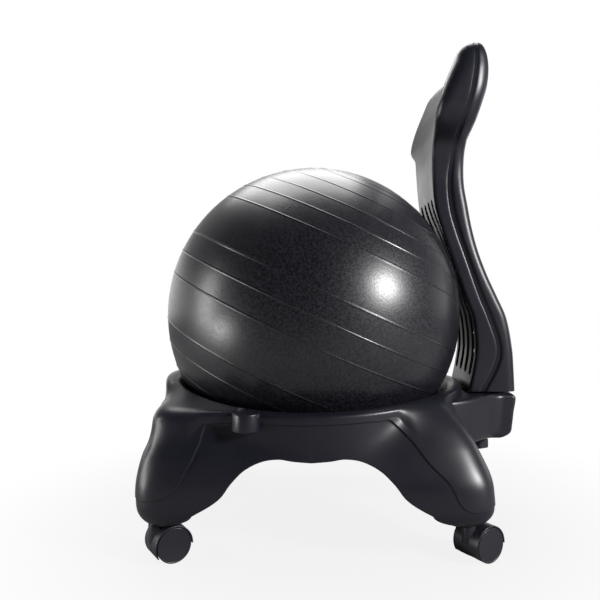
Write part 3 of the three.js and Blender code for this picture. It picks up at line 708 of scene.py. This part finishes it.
def block_shape():
    shape = cut_box(*block_cuts)
    half_height = (block_top - block_bottom) / 2
    for corner in shape.verts:
        u, v, w = [math.sin(math.pi / 2 * part) for part in corner.co]
        near_x, near_y, near_z = rounded_corner([
            block_half_width * (1 - abs(u)), block_depth_scale * (1 - v), half_height * (1 - abs(w)),
        ], block_edge)
        across = math.copysign(1 - near_x / block_half_width, u)
        depth = 1 - near_y / block_depth_scale / 2
        z = (block_top + block_bottom) / 2 + math.copysign(half_height - near_z, w)
        taper = smooth_share(depth, 0, block_taper_share)
        x = across * mix(block_root_half_width, block_half_width, taper)
        root = math.sqrt(block_root_radius ** 2 - x ** 2)
        rear = block_rear * block_curve((z - block_bottom) / (block_top - block_bottom))
        corner.co = (x, mix(root, rear, depth), z)
    shape = carved(shape, slab(
        -recess_half_width, recess_half_width, recess_front, recess_rear, recess_floor, recess_cut_top,
        recess_edge,
    ))
    hex_radius = hex_across_flats / 2 / math.cos(math.pi / hex_sides)
    for side in (-1, 1):
        x = side * bolt_x
        hexagon = cylinder(hex_radius, x, bolt_y, recess_floor - overrun, hex_top, hex_sides, hex_edge)
        shape = carved(shape, hexagon, "UNION")
        stud_hole = cylinder(stud_room, x, bolt_y, block_bottom - overrun, hex_top + overrun, hole_sides)
        shape = carved(shape, stud_hole)
    return shape


ring = ring_shape()
front_half = half_of(ring.copy(), split_y - half_gap / 2, True)
rear_half = half_of(ring, split_y + half_gap / 2, False)
for side in (-1, 1):
    nub_bottom = nub_top - nub_height
    pocket = cylinder(
        nub_radius + nub_gap, side * nub_x, split_y, nub_bottom - nub_gap, nub_top + pocket_rise, nub_sides,
    )
    front_half = carved(front_half, pocket)
    nub = cylinder(nub_radius, side * nub_x, split_y, nub_bottom, nub_top, nub_sides, nub_edge)
    rear_half = with_shape(rear_half, nub)
    front_half = with_shape(front_half, foot_shape(side * stem_x, -stem_y))
    rear_half = with_shape(rear_half, foot_shape(side * stem_x, stem_y))
rear_half = with_shape(rear_half, block_shape())
finished(front_half, "ring_front_half", polypropylene, "base", "base_plastic", "base_front_half")
finished(rear_half, "ring_rear_half", polypropylene, "base", "base_plastic", "base_rear_half")


# Ball
# An inflated burst-resistant exercise ball of soft black PVC, 505 mm across. Its skin has a fine
# speckled grain, and raised moulded rings run round an axis that leans towards the backrest.
ball_radius = 252.5
ball_wall = 1.5
ball_lean_degrees = 24.7
ball_lean = math.radians(ball_lean_degrees)
ring_colatitudes = [
    23.2, 27.8, 37.4, 46.3, 53.8, 61.5, 80.2, 88.5, 97.4, 115.2, 123.6, 133.4, 142.6, 152.2, 156.8,
]
ring_relief = 0.6
ring_half_width = 0.42
ring_profile = [
    (-1.9, 0.0), (-1.3, 0.0), (-1.0, 0.04), (-0.65, 0.35), (-0.3, 0.85), (0.0, 1.0),
    (0.3, 0.85), (0.65, 0.35), (1.0, 0.04), (1.3, 0.0), (1.9, 0.0),
]
ring_reach_share = 1.9
valve_radius = 5.0
valve_guard_degrees = 0.2
ball_steps = 176
ball_rows = 60
ball_row_degrees = 3.0
turned_weld = 0.001
vinyl_ior = 1.52
vinyl_coat_share = 0.15
vinyl_coat_roughness = 0.52

# The skin's grain is taken to be about 1 mm. It is drawn coarser, so that it shows.
speckle_mm = 3.2
vinyl_cloud_mm = 90
vinyl_bump_m = 0.0001
grain_spread = 0.04
vinyl_smoothest = 0.31
vinyl_roughest = 0.34
vinyl_sharp_degrees = 80


def ball_vinyl():
    material = bpy.data.materials.new("speckled_matt_pvc_ball_skin")
    material.use_nodes = True
    tree = material.node_tree
    shader = tree.nodes["Principled BSDF"]
    shader.inputs["IOR"].default_value = vinyl_ior
    shader.inputs["Coat Weight"].default_value = vinyl_coat_share
    shader.inputs["Coat Roughness"].default_value = vinyl_coat_roughness
    place = add_node(tree, "ShaderNodeTexCoord")
    speckle = add_node(tree, "ShaderNodeTexNoise", {
        "Vector": place.outputs["Object"], "Scale": metre_mm / speckle_mm, "Detail": 2.0, "Roughness": 0.7,
    })
    speckle_share = add_node(tree, "ShaderNodeMapRange", {
        "Value": speckle.outputs["Fac"], "From Min": 0.38, "From Max": 0.62,
    })
    colour = add_node(tree, "ShaderNodeMix", {
        0: speckle_share.outputs[0], 6: linear("#060609"), 7: linear("#1f1f27"),
    }, data_type="RGBA")
    tree.links.new(colour.outputs[2], shader.inputs["Base Color"])
    cloud = add_node(tree, "ShaderNodeTexNoise", {
        "Vector": place.outputs["Object"], "Scale": metre_mm / vinyl_cloud_mm, "Detail": 3.0,
    })
    roughness = add_node(tree, "ShaderNodeMapRange", {
        "Value": cloud.outputs["Fac"], "From Min": 0.3, "From Max": 0.7,
        "To Min": vinyl_smoothest, "To Max": vinyl_roughest,
    })
    grain = add_node(tree, "ShaderNodeMapRange", {
        "Value": speckle.outputs["Fac"], "From Min": 0.35, "From Max": 0.65,
        "To Min": -grain_spread, "To Max": grain_spread,
    })
    grained = add_node(tree, "ShaderNodeMath", {
        0: roughness.outputs[0], 1: grain.outputs[0],
    }, operation="ADD")
    tree.links.new(grained.outputs[0], shader.inputs["Roughness"])
    bump = add_node(tree, "ShaderNodeBump", {
        "Height": speckle.outputs["Fac"], "Distance": vinyl_bump_m, "Strength": 1.0,
    })
    tree.links.new(bump.outputs[0], shader.inputs["Normal"])
    return material


# The ball's profile is a table of angles from its axis, and how far the skin rises at each. Rows near
# a moulded ring give way to the ring's own, so that the rings stay narrow.
stops = {ball_row_degrees * k: 0.0 for k in range(ball_rows + 1)}
ring_reach = ring_half_width * ring_reach_share
for colatitude in ring_colatitudes:
    stops = {angle: rise for angle, rise in stops.items() if abs(angle - colatitude) > ring_reach}
    for place_share, rise_share in ring_profile:
        stops[colatitude + place_share * ring_half_width] = rise_share * ring_relief
last_angle = 180 - math.degrees(math.asin(valve_radius / ball_radius))
stops = {angle: rise for angle, rise in stops.items() if angle < last_angle - valve_guard_degrees}
stops[last_angle] = 0.0
ball = bmesh.new()
chain = []
for angle in sorted(stops):
    radius = ball_radius + stops[angle]
    polar = math.radians(angle)
    chain.append(ball.verts.new((radius * math.sin(polar), 0, radius * math.cos(polar))))
for first, second in zip(chain, chain[1:]):
    ball.edges.new((first, second))
bmesh.ops.spin(
    ball, geom=ball.verts[:] + ball.edges[:], axis=(0, 0, 1), cent=(0, 0, 0), angle=2 * math.pi,
    steps=ball_steps, use_merge=True, use_duplicate=False,
)
bmesh.ops.remove_doubles(ball, verts=ball.verts, dist=turned_weld)
bmesh.ops.recalc_face_normals(ball, faces=ball.faces)
bmesh.ops.rotate(ball, verts=ball.verts, cent=(0, 0, 0), matrix=Matrix.Rotation(-ball_lean, 3, "X"))
bmesh.ops.translate(ball, verts=ball.verts, vec=(0, 0, ball_middle_z))
ball_skin = finished(
    ball, "inflated_ball", ball_vinyl(), "ball", "ball_vinyl", "ball", sharp_degrees=vinyl_sharp_degrees,
)
skin_wall = ball_skin.modifiers.new("skin_wall", "SOLIDIFY")
skin_wall.thickness = ball_wall * MM
skin_wall.offset = -1.0


# Backrest
# Two black polypropylene mouldings, a front with four slots and a rear with three, meet along a
# groove down the bar's sides and round its head. Two spigots at the foot plug into the rear block.
back_bottom = 219.0
back_height = 557.0
back_dip = 9.0
head_rise = 4.0
back_front = 257.0
back_rear = 336.0
back_bow = 80.0
bar_half_width = 82.0
head_half_width = 168.0
head_wrap = 14.0
back_dish = 10.0
shell_wall = 4.0
thin_wall_share = 0.2
front_edge = 5.0
head_front_edge = 26.0
head_rear_edge = 19.0
rear_edge = 14.0
wrap_from_share = 0.66
wrap_to_share = 0.8
head_from_share = 0.7
head_to_share = 0.9
groove_from_share = 0.6
groove_to_share = 0.74
groove_thin_share = 0.25
dip_from_share = 0.8
rise_from_share = 0.75
rounding_share = 0.8
face_depth_share = 0.6
edge_depth_share = 0.38
slope_step_share = 0.004
thin_wall_from = 725
thin_wall_to = 765
near_end_share = 0.999
shell_columns = 64
shell_rows = 150
near_top = 0.84
top_part_share = 0.03
face_rows = [0, 0.4, 1.5, 3.3, 5.8, 9.2, 13.5, 18.5, 25.0]
front_edge_rows = [5.0, 2.0, 0.8, 0.0]
front_edge_insets = [0.0, 0.1, 0.5, 1.2]
rear_edge_rows = [12.0, 9.5, 8.0, 6.5, 4.0, 1.0, 0.3]
rear_edge_insets = [0.0, 0.3, 1.4, 2.4, 2.6, 2.7, 2.9]
back_stops = [
    0, 0.06, 0.13, 0.22, 0.28, 0.34, 0.41, 0.48, 0.55, 0.62, 0.69,
    0.735, 0.765, 0.785, 0.82, 0.87, 0.925, 0.97, 1,
]
front_bow_shares = [
    0, 0.09, 0.15, 0.09, -0.07, -0.22, -0.39, -0.56, -0.71, -0.77, -0.79,
    -0.765, -0.745, -0.725, -0.66, -0.55, -0.4, -0.28, -0.22,
]
dish_shares = [0, 0, 0, 0, 0.3, 0.8, 0.9, 0.55, 0.2, 0, 0, 0, 0, 0, 0, 0, 0, 0, 0]
rear_bow_shares = [
    0, -0.025, -0.065, -0.19, -0.375, -0.57, -0.76, -0.9, -1, -1.09, -1.1,
    -1.045, -0.96, -0.89, -0.8, -0.7, -0.68, -0.74, -0.79,
]
back_width_shares = [
    0.93, 0.95, 0.97, 0.985, 0.99, 0.995, 1, 1.01, 1.03, 1.07, 1.14,
    1.3, 1.7, 1.86, 2, 2.048, 2.035, 1.94, 1.62,
]
parting_stops = [0, 0.12, 0.23, 0.39, 0.52, 0.63, 0.67, 0.81, 0.88, 0.97, 1]
parting_shares = [0.25, 0.55, 0.4, 0.44, 0.41, 0.46, 0.52, 0.66, 0.63, 0.6, 0.58]
front_bow = curve_through(back_stops, front_bow_shares)
rear_bow = curve_through(back_stops, rear_bow_shares)
dish = curve_through(back_stops, dish_shares)
back_width = curve_through(back_stops, back_width_shares)
parting = curve_through(parting_stops, parting_shares)


def head_wrap_at(share, x):
    return head_wrap * smooth_share(share, wrap_from_share, wrap_to_share) * (x / head_half_width) ** 2


def front_face(share, x):
    hollow = back_dish * dish(share) * max(0.0, 1 - (x / bar_half_width) ** 2)
    return back_front + back_bow * front_bow(share) - head_wrap_at(share, x) + hollow


def rear_face(share, x):
    return back_rear + back_bow * rear_bow(share) - head_wrap_at(share, x)


def row_share(w):
    if w < near_top:
        return w / near_top * (1 - top_part_share)
    return 1 - top_part_share * (1 - math.sin(math.pi / 2 * (w - near_top) / (1 - near_top)))


# Depths are counted from the shell's own face towards the groove between the shells. The groove is
# a small step, so each row of depths there has its own inset. The wall thins towards the head's top,
# where a full wall would fold through itself.
def shell_shape(of_front):
    edge_rows = front_edge_rows if of_front else rear_edge_rows
    edge_insets = front_edge_insets if of_front else rear_edge_insets
    layers = len(face_rows) + len(edge_rows) - 1
    shape = cut_box(shell_columns, layers, shell_rows)
    open_side = 1 if of_front else -1
    gone = [
        face for face in shape.faces
        if all(v.co.y * open_side > near_end_share for v in face.verts)
        or all(v.co.z < -near_end_share for v in face.verts)
    ]
    bmesh.ops.delete(shape, geom=gone, context="FACES")
    for corner in shape.verts:
        u, v, w = corner.co
        across = math.sin(math.pi / 2 * u)
        share = row_share((w + 1) / 2)
        width = bar_half_width * back_width(share)
        after = min(1, share + slope_step_share)
        before = share - slope_step_share
        slope = bar_half_width * (back_width(after) - back_width(before)) / (back_height * (after - before))
        steep = math.sqrt(1 + slope * slope)
        x = across * width
        head_share = smooth_share(share, head_from_share, head_to_share)
        groove_share = mix(1.0, groove_thin_share, smooth_share(share, groove_from_share, groove_to_share))
        whole = rear_face(share, x) - front_face(share, x)
        groove = whole * (parting(share) if of_front else 1 - parting(share))
        rounding = mix(rear_edge, head_rear_edge, head_share)
        if of_front:
            rounding = mix(front_edge, head_front_edge, head_share)
        rounding = min(rounding, groove * rounding_share)
        layer = round((v + 1) / 2 * layers)
        if not of_front:
            layer = layers - layer
        if layer < len(face_rows):
            depth = face_rows[layer] * min(1.0, groove * face_depth_share / face_rows[-1])
            inset = 0.0
        else:
            edge_share = min(1.0, groove * edge_depth_share / edge_rows[0])
            depth = groove - edge_rows[layer - len(face_rows)] * edge_share
            inset = edge_insets[layer - len(face_rows)] * groove_share
        distances = [(width - abs(x)) / steep, back_height * (1 - share), depth]
        side, top, deep = rounded_corner(distances, rounding)
        if abs(u) > near_end_share:
            side += inset
        if w > near_end_share:
            top += inset
        new_x = math.copysign(width - side * steep, u)
        dip = back_dip * (1 - across ** 2) * smooth_share(share, dip_from_share, 1)
        rise = head_rise * smooth_share(share, rise_from_share, 1)
        z = back_bottom + back_height - top - dip + rise
        y = front_face(share, new_x) + deep if of_front else rear_face(share, new_x) - deep
        corner.co = (new_x, y, z)
    bmesh.ops.recalc_face_normals(shape, faces=shape.faces)
    if sum(face.normal.y * face.calc_area() for face in shape.faces) * open_side > 0:
        bmesh.ops.reverse_faces(shape, faces=shape.faces)
    skin = object_of(shape)
    thinned = skin.vertex_groups.new(name="thinned")
    for corner in skin.data.vertices:
        thin_share = smooth_share(corner.co.z, thin_wall_from, thin_wall_to)
        thinned.add([corner.index], mix(1.0, thin_wall_share, thin_share), "REPLACE")
    wall = skin.modifiers.new("wall", "SOLIDIFY")
    wall.thickness = shell_wall
    wall.vertex_group = thinned.name
    wall.offset = -1.0
    walled = bmesh.new()
    walled.from_object(skin, bpy.context.evaluated_depsgraph_get())
    bpy.data.objects.remove(skin)
    return walled


front_slots = 4
front_slot_pitch = 36.0
front_slot_width = 19.0
front_slot_bottom = 244.0
front_slot_top = 540.0
rear_slots = 3
rear_slot_pitch = 34.0
rear_slot_width = 12.0
rear_slot_bottom = 335.0
rear_slot_top = 600.0
slot_cut_depth = 400
slot_cut_rear = 450
post_half = 22
post_front = 269.0
post_rear = 334.0
post_top = 250.0
spigot_front = 257.0
spigot_rear = 305.0
spigot_edge = 1.0
spigot_bottom = hex_top + half_gap
insert_room = 6.3
insert_depth = 20.3


def slot_cutter(x, width, z0, z1):
    shape = bmesh.new()
    bmesh.ops.create_circle(shape, cap_ends=True, segments=hole_sides, radius=width / 2)
    for corner in shape.verts:
        corner.co.y += (z1 - z0 - width) / 2 * (1 if corner.co.y > 0 else -1)
    lifted = bmesh.ops.extrude_face_region(shape, geom=shape.faces[:])
    far_end = [part for part in lifted["geom"] if isinstance(part, bmesh.types.BMVert)]
    bmesh.ops.translate(shape, vec=(0, 0, slot_cut_depth), verts=far_end)
    bmesh.ops.rotate(shape, verts=shape.verts, cent=(0, 0, 0), matrix=Matrix.Rotation(math.pi / 2, 3, "X"))
    bmesh.ops.translate(shape, verts=shape.verts, vec=(x, slot_cut_rear, (z0 + z1) / 2))
    bmesh.ops.recalc_face_normals(shape, faces=shape.faces)
    return shape


def slotted(shell, count, pitch, width, bottom, top):
    for k in range(count):
        x = (k - (count - 1) / 2) * pitch
        shell = carved(shell, slot_cutter(x, width, bottom, top))
    return shell


front_shell = slotted(
    shell_shape(True), front_slots, front_slot_pitch, front_slot_width, front_slot_bottom, front_slot_top,
)
rear_shell = slotted(
    shell_shape(False), rear_slots, rear_slot_pitch, rear_slot_width, rear_slot_bottom, rear_slot_top,
)
for side in (-1, 1):
    inner = side * bolt_x - post_half
    outer = side * bolt_x + post_half
    post = slab(inner, outer, post_front, post_rear, back_bottom, post_top)
    spigot = slab(
        inner, outer, spigot_front, spigot_rear, spigot_bottom, back_bottom - half_gap, spigot_edge,
    )
    neck = slab(inner, outer, post_front, spigot_rear, back_bottom - overrun, back_bottom + overrun)
    post = carved(carved(post, spigot, "UNION"), neck, "UNION")
    post = carved(post, cylinder(
        insert_room, side * bolt_x, bolt_y, spigot_bottom - overrun, spigot_bottom + insert_depth, hole_sides,
    ))
    rear_shell = with_shape(rear_shell, post)
finished(front_shell, "backrest_front", polypropylene, "backrest", "backrest_plastic", "backrest_front_shell")
finished(rear_shell, "backrest_rear", polypropylene, "backrest", "backrest_plastic", "backrest_rear_shell")


# Hand knobs
# Each knob is a six-lobed black nylon grip moulded on a zinc-plated M8 stud, which draws the backrest
# down onto the block through a steel washer.
knob_radius = 18.0
knob_top = 140.4
knob_rim = 15.0
knob_total = 22.0
knob_hub_radius = 10.0
lobe_depth = 2.2
knob_lobes = 6
knob_sides = 144
knob_edge = 2.0
hub_edge = 1.0
hub_lift = 2
knob_bore = 4.3
knob_bore_depth = 14.3
knob_bottom = knob_top - knob_total
for side, side_name in ((1, "left"), (-1, "right")):
    knob = cylinder(knob_radius, 0, 0, knob_bottom, knob_bottom + knob_rim, knob_sides, knob_edge)
    for corner in knob.verts:
        angle = math.atan2(corner.co.y, corner.co.x)
        reach = math.hypot(corner.co.x, corner.co.y)
        pull = lobe_depth / 2 * (1 - math.cos(knob_lobes * angle)) * reach / knob_radius
        corner.co.x -= pull * math.cos(angle)
        corner.co.y -= pull * math.sin(angle)
    hub = cylinder(knob_hub_radius, 0, 0, knob_bottom + hub_lift, knob_top, edge=hub_edge)
    bore = cylinder(knob_bore, 0, 0, knob_top - knob_bore_depth, knob_top + overrun, hole_sides)
    knob = carved(carved(knob, hub, "UNION"), bore)
    bmesh.ops.translate(knob, vec=(side * bolt_x, bolt_y, 0), verts=knob.verts)
    knob_name = f"hand_knob_{side_name}"
    finished(knob, f"knob_{side_name}", nylon, knob_name, "knob_plastic", knob_name)


# Steel fittings and brass inserts
# The caster stems, their grip rings, the axles, the washers and the knobs' studs are zinc-plated
# steel, whose crystals give a faint spangle. The inserts in the backrest's feet are turned brass,
# which the same pattern clouds a little.

# Such crystals are taken to be a tenth of a millimetre. They are drawn coarser, so that they show.
crystal_mm = 1.2
crystal_dulling = 0.1
zinc_roughness = 0.3
brass_roughness = 0.28


def plated_metal(name, colour, shade, roughness):
    material = bpy.data.materials.new(name)
    material.use_nodes = True
    tree = material.node_tree
    shader = tree.nodes["Principled BSDF"]
    shader.inputs["Metallic"].default_value = 1.0
    place = add_node(tree, "ShaderNodeTexCoord")
    crystals = add_node(tree, "ShaderNodeTexVoronoi", {
        "Vector": place.outputs["Object"], "Scale": metre_mm / crystal_mm,
    })
    tone = add_node(tree, "ShaderNodeMix", {
        0: crystals.outputs["Distance"], 6: linear(colour), 7: linear(shade),
    }, data_type="RGBA")
    tree.links.new(tone.outputs[2], shader.inputs["Base Color"])
    dulled = add_node(tree, "ShaderNodeMapRange", {
        "Value": crystals.outputs["Distance"], "To Min": roughness, "To Max": roughness + crystal_dulling,
    })
    tree.links.new(dulled.outputs[0], shader.inputs["Roughness"])
    return material


zinc_plated_steel = plated_metal("zinc_plated_steel", "#b4b8bd", "#9a9fa6", zinc_roughness)
turned_brass = plated_metal("turned_brass", "#c39a4a", "#a57c34", brass_roughness)


def finish_node(node, material):
    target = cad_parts[node]
    target.data.materials.clear()
    target.data.materials.append(material)


steel_parts = ("caster_stem", "caster_grip_ring", "caster_axle", "knob_stud", "knob_washer")
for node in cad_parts:
    if node.startswith(steel_parts):
        finish_node(node, zinc_plated_steel)
    if node.startswith("backrest_insert"):
        finish_node(node, turned_brass)


# Stem sockets and the ball's plug
# The sockets are dark grey unfilled nylon tubes pressed into the feet, and the plug is off-white
# polyethylene. Both are plain mouldings with the same fine texture.
socket_roughness = 0.42
plug_roughness = 0.4
socket_plastic = moulded_plastic(
    "moulded_nylon_socket", "#3a3a3c", socket_roughness, plastic_grain_mm, plastic_relief_mm,
)
plug_plastic = moulded_plastic(
    "moulded_polyethylene_plug", "#c9c9c4", plug_roughness, plastic_grain_mm, plastic_relief_mm,
)
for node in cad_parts:
    if node.startswith("caster_socket"):
        finish_node(node, socket_plastic)
    if node == "ball_plug":
        finish_node(node, plug_plastic)


# Casters
# Twin-wheel casters of black glass-filled nylon: a hood round the upper half of both wheels, which
# reaches lower by the stem housing, and flat-faced wheels with a rounded tread.
wheel_radius = 25.0
wheel_width = 17.0
fork_half = 6.5
wheel_gap = 0.5
hood_radius = 28.0
hood_wall = 1.8
hood_front = 212.0
hood_rear = -2.0
trail = 20.0
swivel_degrees = 33.0
caster_half = fork_half + wheel_gap + wheel_width
hood_top = 53.4
nose_radius = 10.0
nose_bottom = 27.0
axle_room = 3.3
axle_cut_half = 13.0
axle_hub_radius = 7.0
web_inner = 3.0
web_half = 3.0
hood_edge = 1.2
web_edge = 0.3
hub_bevel = 0.4
nose_edge = 1.0
stem_room = 5.8
stem_room_bottom = 29.7
bore_end = 15.8
wheel_web = 12.0
rim_inner = 22.0
disc_radius = 22.8
disc_face = 16.6
rim_radius = 23.2
fine_edge = 0.3
inner_edge = 0.5
tread_inner_edge = 1.5
tread_outer_edge = 1.3
turning_steps = 96
hood_steps = 48

# Each corner of the wheel's profile is a radius, an offset along the axle, a rounding and its steps.
wheel_profile = [
    (0.0, bore_end, 0.0, 0),
    (axle_room, bore_end, 0.0, 0),
    (axle_room, 0.0, 0.0, 0),
    (axle_hub_radius, 0.0, fine_edge, 2),
    (axle_hub_radius, wheel_web, inner_edge, 2),
    (rim_inner, wheel_web, inner_edge, 2),
    (rim_inner, 0.0, inner_edge, 2),
    (wheel_radius, 0.0, tread_inner_edge, 4),
    (wheel_radius, wheel_width, tread_outer_edge, 5),
    (rim_radius, wheel_width, fine_edge, 2),
    (disc_radius, disc_face, fine_edge, 2),
    (0.0, disc_face, 0.0, 0),
]


def turned_wheel(side):
    shape = bmesh.new()
    outline = rounded_outline(wheel_profile)
    chain = [shape.verts.new((offset, 0, radius)) for radius, offset in outline]
    for first, second in zip(chain, chain[1:]):
        shape.edges.new((first, second))
    bmesh.ops.spin(
        shape, geom=shape.verts[:] + shape.edges[:], axis=(1, 0, 0), cent=(0, 0, 0), angle=2 * math.pi,
        steps=turning_steps, use_merge=True, use_duplicate=False,
    )
    bmesh.ops.remove_doubles(shape, verts=shape.verts, dist=turned_weld)
    bmesh.ops.translate(shape, verts=shape.verts, vec=(fork_half + wheel_gap, 0, 0))
    if side < 0:
        bmesh.ops.scale(shape, vec=(-1, 1, 1), verts=shape.verts)
    bmesh.ops.translate(shape, verts=shape.verts, vec=(0, trail, wheel_radius))
    bmesh.ops.recalc_face_normals(shape, faces=shape.faces)
    return shape


def arc_band(outer, inner, half_width, edge):
    shape = bmesh.new()
    outline = rounded_outline([
        (outer, -half_width, edge, 4), (outer, half_width, edge, 4),
        (inner, half_width, 0, 0), (inner, -half_width, 0, 0),
    ])
    first_angle = math.radians(hood_rear)
    ring = []
    for radius, x in outline:
        y = trail + radius * math.cos(first_angle)
        z = wheel_radius + radius * math.sin(first_angle)
        ring.append(shape.verts.new((x, y, z)))
    face = shape.faces.new(ring)
    bmesh.ops.spin(
        shape, geom=[face], axis=(1, 0, 0), cent=(0, trail, wheel_radius),
        angle=math.radians(hood_front - hood_rear), steps=hood_steps, use_merge=False, use_duplicate=False,
    )
    bmesh.ops.remove_doubles(shape, verts=shape.verts, dist=turned_weld)
    rims = [edge for edge in shape.edges if edge.is_boundary]
    if rims:
        bmesh.ops.holes_fill(shape, edges=rims)
    bmesh.ops.recalc_face_normals(shape, faces=shape.faces)
    return shape


def along_x(radius, x0, x1, sides, edge=0.0):
    shape = cylinder(radius, 0, 0, x0, x1, sides, edge)
    bmesh.ops.rotate(shape, verts=shape.verts, cent=(0, 0, 0), matrix=Matrix.Rotation(math.pi / 2, 3, "Y"))
    bmesh.ops.translate(shape, verts=shape.verts, vec=(0, trail, wheel_radius))
    return shape


def hood_shape():
    hood = arc_band(hood_radius, hood_radius - hood_wall, caster_half, hood_edge)
    hood = carved(hood, arc_band(hood_radius - hood_wall / 2, web_inner, web_half, web_edge), "UNION")
    hood = carved(hood, along_x(axle_hub_radius, -fork_half, fork_half, fitting_sides, hub_bevel), "UNION")
    hood = carved(hood, cylinder(nose_radius, 0, 0, nose_bottom, hood_top, fitting_sides, nose_edge), "UNION")
    for side in (-1, 1):
        start, end = sorted((side * fork_half, side * (caster_half + overrun)))
        hood = carved(hood, along_x(wheel_radius + hood_wall / 2, start, end, turning_steps))
    hood = carved(hood, cylinder(stem_room, 0, 0, stem_room_bottom, hood_top + overrun, hole_sides))
    return carved(hood, along_x(axle_room, -axle_cut_half, axle_cut_half, hole_sides))


for place, x, y in (
    ("front_left", stem_x, -stem_y), ("front_right", -stem_x, -stem_y),
    ("rear_left", stem_x, stem_y), ("rear_right", -stem_x, stem_y),
):
    side = 1 if x > 0 else -1
    turn = Matrix.Translation((x, y, 0)) @ Matrix.Rotation(side * math.radians(swivel_degrees), 4, "Z")
    parts = (
        (hood_shape(), f"hood_{place}", f"caster_{place}", f"caster_hood_{place}"),
        (turned_wheel(side), f"outer_wheel_{place}", f"wheel_outer_{place}", f"caster_wheel_outer_{place}"),
        (turned_wheel(-side), f"inner_wheel_{place}", f"wheel_inner_{place}", f"caster_wheel_inner_{place}"),
    )
    for shape, name, body, node in parts:
        bmesh.ops.transform(shape, matrix=turn, verts=shape.verts)
        finished(shape, name, nylon, body, "caster_plastic", node)
